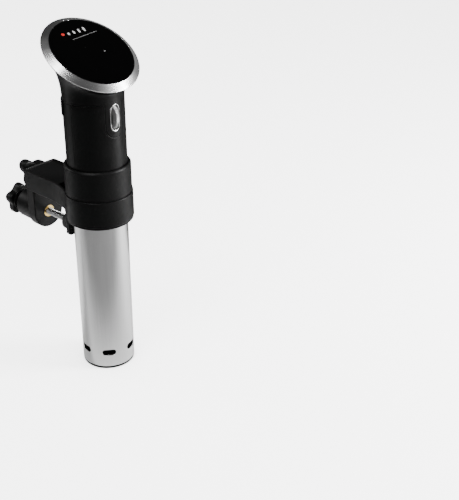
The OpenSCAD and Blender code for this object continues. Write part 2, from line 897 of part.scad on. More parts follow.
module clamp_screw(screw_r, pad_y, knob_y, z) {
    color(steel) y_rod(screw_r, pad_y + pad_floor + 0.1, knob_y + knob_t - knob_floor, z);
}

module pot_screw() clamp_screw(pot_screw_r, pot_pad_y, pot_knob_y, pot_z);
module lock_screw() clamp_screw(lock_screw_r, lock_pad_y, lock_knob_y, lock_z);

module knob(screw_r, y, z, turn, lobes, lobe_r, hub_r) {
    color(black) difference() {
        translate([0, y, z]) rotate([0, turn, 0]) along_y(0, knob_t) {
            circle(r = hub_r);
            for (a = [0 : 360 / lobes : 359]) rotate(a)
                translate([knob_r - lobe_r, 0]) circle(r = lobe_r);
        }
        y_rod(screw_r, y - 1, y + knob_t - knob_floor, z);
    }
}

module pot_knob()
    knob(pot_screw_r, pot_knob_y, pot_z, pot_knob_turn, pot_lobes, pot_lobe_r, pot_hub_r);
module lock_knob()
    knob(lock_screw_r, lock_knob_y, lock_z, lock_knob_turn, lock_lobes, lock_lobe_r, lock_hub_r);

head_shell();
bezel_ring();
glass_gasket();
display_glass();
display_board();
ribbon_plug();
body_front_shell();
body_rear_shell();
rear_vent();
cord_inlet();
wheel_trim();
scroll_wheel();
wheel_axle();
wheel_bracket();
wheel_encoder();
chassis();
main_board();
capacitors();
transformer();
heat_sink();
beeper();
motor_can();
motor_bearing();
motor_mount();
rotor();
drive_shaft();
cooling_fan();
bulkhead();
bulkhead_screws();
shaft_seal();
skirt_seal();
shaft_tube();
shaft_bush();
pump_plate();
impeller();
heater_element();
level_rods();
temperature_probe();
skirt();
base_cap();
clamp_collar();
collar_snap_ring();
clamp_bracket();
jaw_pad();
pot_insert();
lock_insert();
pot_pad();
pot_screw();
pot_knob();
lock_pad();
lock_screw();
lock_knob();
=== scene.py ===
# %% [markdown]
# # A sous vide circulator, piece by piece
# The object is a tall water heater with a pump. A steel skirt hangs in the water, a black
# plastic body carries a slanted round display and a scroll wheel, and a clamp on the body
# holds it to a pot. The CAD frame already has every piece at its real size and place. This
# notebook gives the outer pieces their finished surfaces and all of them their finishes.
# Everything is in metres, z points up, the display faces -y and the clamp's arm points to +y.

# %% Load the CAD frame
import json
import bmesh
import bpy
import numpy as np
from mathutils import Matrix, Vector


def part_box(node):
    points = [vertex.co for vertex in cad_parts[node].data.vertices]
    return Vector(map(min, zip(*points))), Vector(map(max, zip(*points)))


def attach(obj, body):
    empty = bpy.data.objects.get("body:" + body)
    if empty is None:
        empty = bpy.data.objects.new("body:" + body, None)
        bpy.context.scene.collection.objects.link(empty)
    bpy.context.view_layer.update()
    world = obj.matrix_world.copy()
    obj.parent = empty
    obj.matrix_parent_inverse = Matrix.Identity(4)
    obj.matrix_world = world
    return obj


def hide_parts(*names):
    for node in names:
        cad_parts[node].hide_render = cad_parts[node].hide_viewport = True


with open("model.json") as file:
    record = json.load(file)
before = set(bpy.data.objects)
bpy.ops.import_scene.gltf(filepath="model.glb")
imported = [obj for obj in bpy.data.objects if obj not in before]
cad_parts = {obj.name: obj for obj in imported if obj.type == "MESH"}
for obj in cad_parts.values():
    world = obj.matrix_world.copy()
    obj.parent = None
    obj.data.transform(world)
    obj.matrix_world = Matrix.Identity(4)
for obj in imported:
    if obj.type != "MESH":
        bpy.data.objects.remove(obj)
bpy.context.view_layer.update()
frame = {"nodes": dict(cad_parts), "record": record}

# %% [markdown]
# ## Sizes
# A maker measures once and works from those marks. Each length here is read from a node's
# box where the box shows it, and is a named value where it doesn't, such as a wall or a tilt.

# %% Sizes read from the frame
MM = 0.001
TAU = 2 * np.pi
FRONT = -np.pi / 2
REAR = np.pi / 2


def mm(*lengths):
    """Lengths given in millimetres, as one array in metres."""
    return np.array(lengths) * MM


def circle(turn):
    """Points at those angles on a circle of radius 1."""
    return np.stack([np.cos(turn), np.sin(turn)], -1)


def on_cylinder(radius, turn, height):
    """Points round the z axis, at a radius, an angle and a height each."""
    return np.stack([radius * np.cos(turn), radius * np.sin(turn), height], -1)


def corners(node):
    """Lowest and highest corner of a CAD node, in metres."""
    low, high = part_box(node)
    return np.array(low), np.array(high)


def middle(node):
    """The middle of a CAD node's box."""
    return sum(corners(node)) / 2


SEAM_GAP = 0.3 * MM
WALL = 2.4 * MM
BODY_R = corners("body_rear_shell")[1][1]
BODY_Z = corners("body_front_shell")[0][2]
BODY_TOP = corners("body_front_shell")[1][2]
HEAD_Z = BODY_TOP + SEAM_GAP
print("body radius", round(BODY_R / MM, 2), "mm, seam at", round(HEAD_Z / MM, 2), "mm")

# %% The display's own frame
TILT = np.radians(32.8)
RIM_R = corners("bezel_ring")[1][0]
GLASS_R = corners("display_glass")[1][0]
GLASS_T = 1.9 * MM
RIM_RISE = 4.1 * MM
RIM_LIP = 2.2 * MM
RIM_FACE = 6.8 * MM
RIM_EDGE = 0.8 * MM
OFF_GLASS = np.array([0, -np.sin(TILT), np.cos(TILT)])
RIM_MIDDLE = middle("display_glass") - (RIM_RISE - GLASS_T / 2) * OFF_GLASS


def on_display(points):
    """From the display's frame to the object's: x stays, y climbs the glass, z stands off it."""
    x, y, z = np.moveaxis(np.asarray(points, float), -1, 0)
    up_y = y * np.cos(TILT) - z * np.sin(TILT)
    up_z = y * np.sin(TILT) + z * np.cos(TILT)
    return RIM_MIDDLE + np.stack([x, up_y, up_z], -1)


print("rim middle in mm:", np.round(RIM_MIDDLE / MM, 2), "rim radius", round(RIM_R / MM, 2))

# %% [markdown]
# ## Surfaces from numpy
# Nearly every outer piece is turned, pressed or moulded, so its surface follows a rule. A grid
# of points comes from the rule as one array, and a patch is that grid with its four-sided
# faces. Pieces could be carved with booleans instead, but a grid keeps even faces, which take
# smooth shading and a bevel well.

# %% Grids, lids and patches


def grid_faces(rows, columns, close_rows=False, close_columns=False):
    """Faces of a grid of rows by columns: each joins a point to its next row and next column."""
    row, column = np.meshgrid(np.arange(rows - (not close_rows)),
                              np.arange(columns - (not close_columns)), indexing="ij")
    next_row = (row + 1) % rows
    next_column = (column + 1) % columns
    ring = [row * columns + column, next_row * columns + column,
            next_row * columns + next_column, row * columns + next_column]
    return np.stack(ring, -1).reshape(-1, 4)


def patch(points, close_rows=False, close_columns=False, leave_out=None):
    """A grid of points as (points, faces), without the faces that leave_out marks."""
    rows, columns = points.shape[:2]
    faces = grid_faces(rows, columns, close_rows, close_columns)
    if leave_out is not None:
        faces = faces[~leave_out.ravel()]
    return points.reshape(-1, 3), faces.tolist()


def lid(ring):
    """A flat face over one ring of points."""
    return ring, [list(range(len(ring)))]


def between(inner, outer, rows):
    """Rows of points that go straight from one line of points to another of the same count."""
    share = np.linspace(0, 1, rows + 1)[:, None, None]
    return inner + (outer - inner) * share


def tube(points):
    """A closed tube from rings of points, with a flat face at each end."""
    return [patch(points, close_columns=True), lid(points[0]), lid(points[-1])]


def joined(patches):
    """Several patches as one list of points and one of faces."""
    points, faces, start = [], [], 0
    for patch_points, patch_faces in patches:
        points.append(patch_points)
        faces += [[corner + start for corner in face] for face in patch_faces]
        start += len(patch_points)
    return np.concatenate(points), faces


print("a grid of 3 by 4 points has", len(grid_faces(3, 4)), "faces")

# %% Outlines and turned shapes


def unit(vector):
    """The vector at length 1."""
    return vector / np.linalg.norm(vector)


def rounded(outline, radii, steps=5):
    """A closed outline whose corners are arcs. An arc of radius r in a corner of half angle h
    has its centre r / sin(h) down the corner's middle line and touches each side r / tan(h)
    from the corner, and it is swept evenly between those two points."""
    outline = np.asarray(outline, float)
    arcs = []
    before, after = np.roll(outline, 1, 0), np.roll(outline, -1, 0)
    radii = np.broadcast_to(radii, len(outline))
    for corner, last, following, radius in zip(outline, before, after, radii):
        if radius <= 0:
            arcs.append(corner[None])
            continue
        to_last, to_next = unit(last - corner), unit(following - corner)
        half = np.arccos(np.clip(to_last @ to_next, -1, 1)) / 2
        centre = corner + unit(to_last + to_next) * radius / np.sin(half)
        start = corner + to_last * radius / np.tan(half) - centre
        end = corner + to_next * radius / np.tan(half) - centre
        sweep = np.pi - 2 * half
        share = np.linspace(0, 1, steps + 1)[:, None]
        mixed = start * np.sin((1 - share) * sweep) + end * np.sin(share * sweep)
        arcs.append(centre + mixed / np.sin(sweep))
    return np.concatenate(arcs)


def turned(profile, sides=128, start=0.0, stop=TAU, closed=True):
    """A profile of (radius, height) turned about z. A part turn has a lid at each end."""
    whole = stop - start >= TAU - 1e-9
    angle = np.linspace(start, stop, sides, endpoint=not whole)[:, None]
    radius, height = np.asarray(profile, float).T
    points = on_cylinder(radius, angle, height + 0 * angle)
    made = [patch(points, close_rows=whole, close_columns=closed)]
    if not whole:
        made += [lid(points[0]), lid(points[-1])]
    return made


def placed(patches, place):
    """The same patches, with each point sent through a function."""
    return [(place(points), faces) for points, faces in patches]


def facing_y(height):
    """Lays a shape made about z along y, at a height: its own z becomes y."""
    return lambda points: np.stack([points[:, 0], points[:, 2], height - points[:, 1]], -1)


def slab(outline, low, high, edge, steps=4):
    """A plate with rounded rims. Its outline is drawn in by edge * (1 - sin a) while its height
    rises by edge * (1 - cos a), for a from 0 to a quarter turn, and the same again at the top."""
    turn = np.linspace(0, np.pi / 2, steps + 1)
    draw_in = np.concatenate([edge * (1 - np.sin(turn)), edge * (1 - np.cos(turn))])
    rise = np.concatenate([low + edge * (1 - np.cos(turn)), high - edge * (1 - np.sin(turn))])
    along = np.roll(outline, -1, 0) - np.roll(outline, 1, 0)
    inward = np.stack([-along[:, 1], along[:, 0]], -1) / np.linalg.norm(along, axis=1)[:, None]
    x, y = outline.T
    area = np.sum(x * np.roll(y, -1) - np.roll(x, -1) * y)
    plan = outline + np.sign(area) * inward * draw_in[:, None, None]
    points = np.concatenate([plan, np.broadcast_to(rise[:, None, None], plan.shape[:2] + (1,))], -1)
    return [patch(points, close_columns=True), lid(points[0][::-1]), lid(points[-1])]


print("a square with round corners has", len(rounded([(0, 0), (1, 0), (1, 1), (0, 1)], 0.2)), "points")

# %% From patches to a piece
SAME_POINT = 0.001 * MM
NO_EDGE = 0.0001 * MM


def shown(name, data):
    """A new object with that data, in the scene and at the origin."""
    made = bpy.data.objects.new(name, data)
    bpy.context.scene.collection.objects.link(made)
    return made


def raw_solid(patches, name="raw solid", sheet=False):
    """A mesh object from patches, not yet a piece. Points that meet are merged and faces are
    turned outwards. A sheet has no inside of its own, so its faces turn away from the z axis."""
    mesh = bpy.data.meshes.new(name)
    points, faces = joined(patches)
    mesh.from_pydata(points.tolist(), [], faces)
    work = bmesh.new()
    work.from_mesh(mesh)
    bmesh.ops.remove_doubles(work, verts=work.verts, dist=SAME_POINT)
    bmesh.ops.dissolve_degenerate(work, dist=NO_EDGE, edges=work.edges)
    bmesh.ops.recalc_face_normals(work, faces=work.faces)
    if sheet:
        outward = [face.normal.to_2d() @ face.calc_center_median().to_2d() for face in work.faces]
        if sum(outward) < 0:
            bmesh.ops.reverse_faces(work, faces=work.faces)
    work.to_mesh(mesh)
    work.free()
    return shown(name, mesh)


def piece(node, patches, body, crease=35, sheet=False, stands_for=None, name=None):
    """Makes the finished object that stands for a CAD node, with that node's finish. Edges
    sharper than crease degrees stay sharp."""
    made = raw_solid(patches, name or "fine_" + node, sheet)
    mesh = made.data
    mesh.shade_smooth()
    mesh.set_sharp_from_angle(angle=np.radians(crease))
    mesh.materials.append(FINISH[SLOT_OF[node]])
    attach(made, body)
    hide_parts(*([node] if stands_for is None else stands_for))
    if not sheet:
        even(made)
    print(f"{made.name}: {len(mesh.vertices)} points, {len(mesh.polygons)} faces")
    return made


def even(made):
    """Shading that the large faces lead, so that flats look flat."""
    made.modifiers.new("even shading", "WEIGHTED_NORMAL").keep_sharp = True
    return made


def walled(made, thickness, edge, segments=2):
    """Gives a sheet its wall, inwards, and takes the sharp corner off every rim."""
    wall = made.modifiers.new("wall", "SOLIDIFY")
    wall.thickness = thickness
    wall.offset = -1
    wall.use_even_offset = True
    return eased(made, edge, segments)


def eased(made, edge, segments=2, angle=40):
    """A small round on every edge sharper than angle degrees."""
    bevel = made.modifiers.new("edge", "BEVEL")
    bevel.width = edge
    bevel.segments = segments
    bevel.limit_method = "ANGLE"
    bevel.angle_limit = np.radians(angle)
    bevel.use_clamp_overlap = True
    return even(made)


SLOT_OF = {part["node"]: part["material_slot"] for part in frame["record"]["subparts"]}
print(len(SLOT_OF), "nodes in", len(set(SLOT_OF.values())), "material slots")

# %% [markdown]
# ## Finishes
# A flat colour never looks like a made thing. Moulded plastic copies the fine pits that were
# etched into its mould, a hand leaves smoother patches on it, and its edges rub bright.
# Brushed metal has fine lines along the way it was worked. Each of these effects is one node
# group here, built once, and each material places it with its own sizes.

# %% Small tools for node trees


def put(tree, kind, feeds=None, **settings):
    """Adds a node. A feed that is a socket is linked, and any other is set as the value."""
    node = tree.nodes.new("ShaderNode" + kind)
    for name, value in settings.items():
        setattr(node, name, value)
    for place, value in (feeds or {}).items():
        if isinstance(value, bpy.types.NodeSocket):
            tree.links.new(value, node.inputs[place])
        else:
            node.inputs[place].default_value = value
    return node


def new_group(name, inputs, outputs):
    """An empty shader group with named inputs and outputs."""
    tree = bpy.data.node_groups.new(name, "ShaderNodeTree")
    for label, kind in inputs:
        tree.interface.new_socket(label, in_out="INPUT", socket_type="NodeSocket" + kind)
    for label in outputs:
        tree.interface.new_socket(label, in_out="OUTPUT", socket_type="NodeSocketFloat")
    return tree, tree.nodes.new("NodeGroupInput").outputs, tree.nodes.new("NodeGroupOutput").inputs


def times(tree, first, second, add=0.0):
    """first * second + add."""
    return put(tree, "Math", {0: first, 1: second, 2: add}, operation="MULTIPLY_ADD").outputs[0]


def spread(tree, value, low, high, to_low=0.0, to_high=1.0):
    """Stretches low..high to to_low..to_high, smoothly and with no overshoot."""
    feeds = {"Value": value, "From Min": low, "From Max": high, "To Min": to_low, "To Max": to_high}
    return put(tree, "MapRange", feeds, interpolation_type="SMOOTHSTEP").outputs[0]


def cloud(tree, vector, scale, detail=2.0, roughness=0.5):
    """Soft noise from 0 to 1."""
    feeds = {"Vector": vector, "Scale": scale, "Detail": detail, "Roughness": roughness}
    return put(tree, "TexNoise", feeds).outputs[0]


# %% Group: etched grain of a mould
grain, given, out = new_group("Etched Grain", [("Vector", "Vector"), ("Pits per Metre", "Float")],
                              ["Height", "Mottle"])
pits = put(grain, "TexVoronoi", {"Vector": given["Vector"], "Scale": given["Pits per Metre"]},
           feature="SMOOTH_F1").outputs["Distance"]
ripple = cloud(grain, given["Vector"], given["Pits per Metre"], 3.0)
PIT_HEIGHT = 0.6
grain.links.new(times(grain, pits, PIT_HEIGHT, ripple), out["Height"])
MOTTLES_PER_PIT = 0.02
patches_scale = times(grain, given["Pits per Metre"], MOTTLES_PER_PIT)
grain.links.new(cloud(grain, given["Vector"], patches_scale, 4.0, 0.6), out["Mottle"])

# %% Group: edges that have rubbed bright
rubbed, given, out = new_group("Rubbed Edges", [("Vector", "Vector"), ("Amount", "Float")], ["Mask"])
sharpness = put(rubbed, "NewGeometry").outputs["Pointiness"]
EDGE_SHARPNESS = (0.52, 0.62)
CHIPS_PER_METRE = 260.0
on_edge = spread(rubbed, sharpness, *EDGE_SHARPNESS)
chips = cloud(rubbed, given["Vector"], CHIPS_PER_METRE, 4.0, 0.65)
broken_up = spread(rubbed, chips, 0.36, 0.66, 0.25, 1.0)
rubbed.links.new(times(rubbed, times(rubbed, on_edge, broken_up), given["Amount"]), out["Mask"])

# %% Group: smoother patches where hands have been
handled, given, out = new_group("Handling", [("Vector", "Vector"), ("Patches per Metre", "Float")],
                                ["Mask"])
whorls = cloud(handled, given["Vector"], given["Patches per Metre"], 5.0, 0.55)
handled.links.new(spread(handled, whorls, 0.42, 0.68), out["Mask"])

# %% Group: fine lines along one way
lines, given, out = new_group("Worked Lines", [("Stretched Vector", "Vector")], ["Height", "Shade"])
fine_lines = cloud(lines, given["Stretched Vector"], 1.0, 6.0, 0.7)
COARSE = 0.23
coarse_vector = put(lines, "VectorMath", {0: given["Stretched Vector"], 1: (COARSE, COARSE, COARSE)},
                    operation="MULTIPLY").outputs[0]
coarse_lines = cloud(lines, coarse_vector, 1.0, 3.0, 0.5)
lines.links.new(fine_lines, out["Height"])
lines.links.new(times(lines, coarse_lines, 0.5, times(lines, fine_lines, 0.5)), out["Shade"])

# %% Group: a turned piece's own directions
ring_way, given, out = new_group("Ring Directions", [("Centred Vector", "Vector")], ["X", "Y", "Z"])
flat = put(ring_way, "VectorMath", {0: given["Centred Vector"], 1: (1.0, 1.0, 0.0)},
           operation="MULTIPLY")
heading = put(ring_way, "VectorMath", {0: flat.outputs[0]}, operation="NORMALIZE")
distance = put(ring_way, "VectorMath", {0: flat.outputs[0]}, operation="LENGTH").outputs["Value"]
along_ring = put(ring_way, "SeparateXYZ", {0: heading.outputs[0]})
height = put(ring_way, "SeparateXYZ", {0: given["Centred Vector"]}).outputs["Z"]
ring_way.links.new(along_ring.outputs["X"], out["X"])
ring_way.links.new(along_ring.outputs["Y"], out["Y"])
ring_way.links.new(times(ring_way, distance, 1.0, height), out["Z"])
print("groups:", [tree.name for tree in bpy.data.node_groups])

# %% [markdown]
# ### Moulded plastics and rubbers
# The body's black ABS, the clamp's grained nylon, the pads' rubber and the plastics inside
# differ only in colour, gloss, size of pit and wear, so one recipe makes them all.

# %% Recipe for a moulded finish
FINISH = {}
PALM_MARKS = 38.0


def material(name):
    """A new material with its tree, its shader and the object's own coordinates."""
    made = bpy.data.materials.new(name)
    made.use_nodes = True
    tree = made.node_tree
    shader = tree.nodes["Principled BSDF"]
    place = put(tree, "TexCoord").outputs["Object"]
    FINISH[name] = made
    return tree, shader, place


def group(tree, which, feeds):
    """Places a group in a material."""
    return put(tree, "Group", feeds, node_tree=which).outputs


def blended(tree, share, first, second):
    """Colour first where share is 0 and second where it is 1."""
    return put(tree, "Mix", {0: share, 6: first, 7: second}, data_type="RGBA").outputs[2]


def colour(red, green, blue):
    return (red, green, blue, 1.0)


def grey(value, warmth=0.0):
    return colour(value * (1 + warmth), value, value * (1 - warmth))


def moulded(name, dark, light, worn, rough, pits=2600.0, depth=0.02, wear=0.5, sheen=0.0,
            gloss=0.5):
    """Plastic or rubber: colour drifts from dark to light, edges rub to worn, and roughness
    drops where it was handled. rough is (where handled, elsewhere), pits are per metre and
    depth in mm, and gloss is how strongly the surface mirrors the room, from 0 to 1."""
    tree, shader, place = material(name)
    surface = group(tree, grain, {"Vector": place, "Pits per Metre": pits})
    edges = group(tree, rubbed, {"Vector": place, "Amount": wear})["Mask"]
    hands = group(tree, handled, {"Vector": place, "Patches per Metre": PALM_MARKS})["Mask"]
    body = blended(tree, surface["Mottle"], dark, light)
    tree.links.new(blended(tree, edges, body, worn), shader.inputs["Base Color"])
    tree.links.new(spread(tree, hands, 0.0, 1.0, rough[1], rough[0]), shader.inputs["Roughness"])
    bump = put(tree, "Bump", {"Height": surface["Height"], "Distance": depth * MM, "Strength": 1.0})
    tree.links.new(bump.outputs[0], shader.inputs["Normal"])
    shader.inputs["Sheen Weight"].default_value = sheen
    shader.inputs["Specular IOR Level"].default_value = gloss
    return shader


# %% Plastics and rubbers
BLACK_GLOSS = 0.13
moulded("black_plastic", grey(0.0022), grey(0.0030), grey(0.007), (0.28, 0.38), depth=0.012,
        wear=0.35, gloss=BLACK_GLOSS)
moulded("clamp_plastic", grey(0.0028), grey(0.0038), grey(0.010), (0.34, 0.44), pits=1900.0,
        gloss=BLACK_GLOSS)
moulded("inner_plastic", grey(0.028), grey(0.040), grey(0.08), (0.42, 0.55), pits=1500.0,
        depth=0.03)
moulded("connector_plastic", grey(0.62, 0.04), grey(0.72, 0.04), grey(0.8), (0.35, 0.45), depth=0.01)
moulded("bearing_plastic", grey(0.66, 0.05), grey(0.76, 0.05), grey(0.8), (0.3, 0.4), depth=0.008)
moulded("capacitor_sleeve", colour(0.02, 0.035, 0.14), colour(0.03, 0.05, 0.2), grey(0.3), (0.16, 0.24),
        depth=0.004)
moulded("transformer_tape", colour(0.62, 0.42, 0.05), colour(0.75, 0.54, 0.1), grey(0.6), (0.22, 0.34),
        pits=500.0)
moulded("seal_rubber", grey(0.012), grey(0.02), grey(0.05), (0.62, 0.8), pits=1200.0, depth=0.03,
        sheen=0.05)
moulded("seal_ring_red", colour(0.26, 0.045, 0.03), colour(0.36, 0.07, 0.045), grey(0.3),
        (0.5, 0.65), depth=0.01)
moulded("pad_rubber", grey(0.018), grey(0.030), grey(0.06), (0.6, 0.78), pits=1400.0, depth=0.04,
        sheen=0.05)
print("moulded finishes:", sorted(FINISH))

# %% [markdown]
# ### Metals
# A metal's look is its reflection, so its lines matter more than its colour. The skirt is drawn
# tube and its lines run lengthwise. The rim, the brass inserts and the bearings are turned, and
# their lines run round. Lines are noise that is stretched along the way of working.

# %% Recipe for a worked metal


ALONG_LINES = 0.012
ROUND_THE_RING = 0.04
METAL_MARKS = 30.0
MARK_HAZE = 0.05
LINE_SHADES = (0.3, 0.7)


def metal(name, dark, light, rough, way, lines_per_metre=4200.0, depth=0.004, wear=0.4,
          centre=None):
    """A metal with lines along z, or round it, of a depth in mm. The object's coordinates are
    scaled to lines_per_metre across the lines and to a small share of that along them."""
    tree, shader, place = material(name)
    if centre is not None:
        turn = put(tree, "Mapping", {"Vector": place, "Location": centre[0], "Rotation": centre[1]},
                   vector_type="TEXTURE")
        place = turn.outputs[0]
    if way == "along z":
        scale = (lines_per_metre, lines_per_metre, lines_per_metre * ALONG_LINES)
        stretched = put(tree, "VectorMath", {0: place, 1: scale}, operation="MULTIPLY").outputs[0]
    else:
        ways = group(tree, ring_way, {"Centred Vector": place})
        round_scale = lines_per_metre * ALONG_LINES * ROUND_THE_RING
        feeds = {0: times(tree, ways["X"], round_scale), 1: times(tree, ways["Y"], round_scale),
                 2: times(tree, ways["Z"], lines_per_metre)}
        stretched = put(tree, "CombineXYZ", feeds).outputs[0]
    worked = group(tree, lines, {"Stretched Vector": stretched})
    edges = group(tree, rubbed, {"Vector": place, "Amount": wear})["Mask"]
    hands = group(tree, handled, {"Vector": place, "Patches per Metre": METAL_MARKS})["Mask"]
    tone = blended(tree, spread(tree, worked["Shade"], *LINE_SHADES), dark, light)
    tree.links.new(blended(tree, edges, tone, light), shader.inputs["Base Color"])
    lined = spread(tree, worked["Shade"], *LINE_SHADES, *rough)
    tree.links.new(times(tree, hands, MARK_HAZE, lined), shader.inputs["Roughness"])
    bump = put(tree, "Bump", {"Height": worked["Height"], "Distance": depth * MM, "Strength": 1.0})
    tree.links.new(bump.outputs[0], shader.inputs["Normal"])
    shader.inputs["Metallic"].default_value = 1.0
    return shader


# %% Metals
DISPLAY_FRAME = (tuple(RIM_MIDDLE), (TILT, 0.0, 0.0))
WHEEL_MIDDLE = middle("scroll_wheel")
metal("brushed_bezel", grey(0.82), grey(0.88), (0.19, 0.23), "round", lines_per_metre=1500.0,
      depth=0.0002, wear=0.2, centre=DISPLAY_FRAME)
metal("chrome_trim", grey(0.48), grey(0.60), (0.12, 0.20), "along z", depth=0.001)
metal("bright_steel", grey(0.46), grey(0.60), (0.16, 0.28), "round", lines_per_metre=2600.0)
metal("brushed_skirt", grey(0.62), grey(0.72), (0.13, 0.22), "along z", depth=0.002)
metal("bare_aluminium", grey(0.60), grey(0.74), (0.28, 0.40), "along z")
metal("motor_steel", grey(0.30, 0.02), grey(0.42, 0.02), (0.30, 0.42), "round")
metal("copper_rotor", colour(0.42, 0.16, 0.06), colour(0.68, 0.28, 0.11), (0.22, 0.34), "round",
      lines_per_metre=1500.0, depth=0.06)
metal("brass_insert", colour(0.58, 0.40, 0.14), colour(0.78, 0.58, 0.24), (0.20, 0.32), "round")
print("metals done, finishes so far:", len(FINISH))

# %% [markdown]
# ### The wheel, the heater, the boards and the glass
# Four finishes need something of their own. The wheel is plastic with a silver coat that has
# worn on its ribs. The heater's sheath has been hot, so it is straw-coloured to blue in clouds.
# A board's lacquer lets its copper tracks show as a faint grid. The display's cover is black
# behind clear glass, and only smears and the light's reflection show on it.

# %% Silver wheel and heater sheath
silver = moulded("silver_wheel", grey(0.10), grey(0.16), grey(0.34), (0.26, 0.38), pits=900.0,
                 depth=0.05, wear=0.9)
silver.inputs["Metallic"].default_value = 0.7

metal("heater_sheath", grey(0.30, 0.05), grey(0.46, 0.06), (0.28, 0.42), "along z",
      lines_per_metre=2000.0)
tree = FINISH["heater_sheath"].node_tree
shader = tree.nodes["Principled BSDF"]
bare = shader.inputs["Base Color"].links[0].from_socket
place = put(tree, "TexCoord").outputs["Object"]
oxide = put(tree, "ValToRGB", {0: cloud(tree, place, 42.0, 4.0, 0.6)})
oxide.color_ramp.elements[0].color = colour(0.42, 0.30, 0.16)
oxide.color_ramp.elements[1].color = colour(0.20, 0.22, 0.30)
HOT_FROM, HOT_TO = 155 * MM, 75 * MM
climb = put(tree, "SeparateXYZ", {0: place}).outputs["Z"]
heated = spread(tree, climb, HOT_FROM, HOT_TO, 0.15, 0.7)
tree.links.new(blended(tree, heated, bare, oxide.outputs[0]), shader.inputs["Base Color"])

# %% Circuit board
board = moulded("circuit_board", colour(0.008, 0.07, 0.03), colour(0.012, 0.10, 0.045), grey(0.3),
                (0.2, 0.3), depth=0.004)
tree = FINISH["circuit_board"].node_tree
place = put(tree, "TexCoord").outputs["Object"]
tracks = put(tree, "TexBrick", {"Vector": place, "Color1": grey(1.0), "Color2": grey(1.0),
                                "Mortar": grey(0.0), "Scale": 160.0, "Mortar Size": 0.06})
lacquer = board.inputs["Base Color"].links[0].from_socket
over_tracks = blended(tree, tracks.outputs["Fac"], lacquer, colour(0.06, 0.22, 0.08))
tree.links.new(over_tracks, board.inputs["Base Color"])

# %% Display glass
tree, shader, place = material("display_glass")
smears = group(tree, handled, {"Vector": place, "Patches per Metre": 55.0})["Mask"]
stretched = put(tree, "VectorMath", {0: place, 1: (90.0, 30.0, 60.0)}, operation="MULTIPLY").outputs[0]
wiped = cloud(tree, stretched, 1.0, 5.0, 0.6)
smeared = spread(tree, times(tree, smears, wiped), 0.1, 0.7, 0.02, 0.09)
tree.links.new(smeared, shader.inputs["Roughness"])
tree.links.new(blended(tree, wiped, grey(0.0002), grey(0.0005)), shader.inputs["Base Color"])
shader.inputs["Specular IOR Level"].default_value = 0.35
print("all finishes:", sorted(FINISH))

# %% Give every CAD node the finish of its slot
for node, cad_object in frame["nodes"].items():
    cad_object.data.materials.clear()
    cad_object.data.materials.append(FINISH[SLOT_OF[node]])
print("CAD nodes with a finish:", len(frame["nodes"]))

# %% [markdown]
# ## The head
# The head is one moulding: a round neck flares out to the tilted rim, and a tongue hangs from
# it in front to carry the wheel. It could be lofted by hand between two circles, but a formula
# keeps the neck straight at the seam and tangent there. In front the flare comes late and
# sharply, and behind it comes early and is long, so the shape's share depends on the heading.

# %% The flare as a function of heading and height
HEAD_RIM_R = RIM_R - 1.4 * MM
FRONT_POWER = 4.5


def rim_at(heading, radius, stand):
    """A point on the display's circle of that radius, standing off the rim's plane."""
    return on_display(on_cylinder(radius, heading, stand + 0 * heading))


def head_skin(heading, height):
    """The head's outer skin. Its plan goes from the neck's circle to the rim's, by a share of
    s^2 (1 + 1.1 s (1 - s)) behind and s^4.5 in front, where s is the share of the rise."""
    top = rim_at(heading, HEAD_RIM_R, -RIM_LIP)
    rise = np.clip((height - HEAD_Z) / (top[..., 2] - HEAD_Z), 0, 1)
    rear = (1 + np.sin(heading)) / 2
    done = rear * rise**2 * (1 + 1.1 * rise * (1 - rise)) + (1 - rear) * rise**FRONT_POWER
    neck = BODY_R * circle(heading)
    plan = neck + (top[..., :2] - neck) * done[..., None]
    return np.concatenate([plan, height[..., None]], -1)


def heading_of(across, centre=FRONT, radius=BODY_R):
    """The heading at which a line of sight along centre, moved sideways, meets the radius."""
    return centre + np.arcsin(across / radius)


def oblong(direction, half_long, half_wide):
    """Distance from an oblong's middle to its edge. Its long side lies along direction 0. Beside
    the flat side it is half_wide / sin, and beyond it the root of the round end's circle."""
    along, across = np.abs(np.cos(direction)), np.abs(np.sin(direction))
    core = half_long - half_wide
    flat_side = half_wide / np.maximum(across, 1e-9)
    round_end = core * along + np.sqrt(np.maximum(half_wide**2 - (core * across) ** 2, 0))
    return np.where(flat_side * along <= core, flat_side, round_end)


# %% Head shell with its tongue
TRIM_HALF_W = corners("wheel_trim")[1][0]
TRIM_HALF_H = (corners("wheel_trim")[1][2] - corners("wheel_trim")[0][2]) / 2
WHEEL_Z = WHEEL_MIDDLE[2]
TONGUE_HALF = 21.7 / 2 * MM
TONGUE_Z = corners("head_shell")[0][2]
TONGUE_ROUND_Z = TONGUE_Z + TONGUE_HALF
TONGUE_TOP = HEAD_Z + 4 * MM
TONGUE_COLUMNS = 12
HEAD_ROWS = 30


def u_line(half, round_z, top_z, straight=10, arc=24):
    """The U of the tongue in front view, as (x, z): down the left side, round, and up."""
    side = np.linspace(top_z, round_z, straight, endpoint=False)
    turn = np.linspace(np.pi, TAU, arc + 1)
    left = np.stack([-half + 0 * side, side], -1)
    bowl = np.stack([half * np.cos(turn), round_z + half * np.sin(turn)], -1)
    return np.concatenate([left, bowl, (left * [-1, 1])[::-1]])


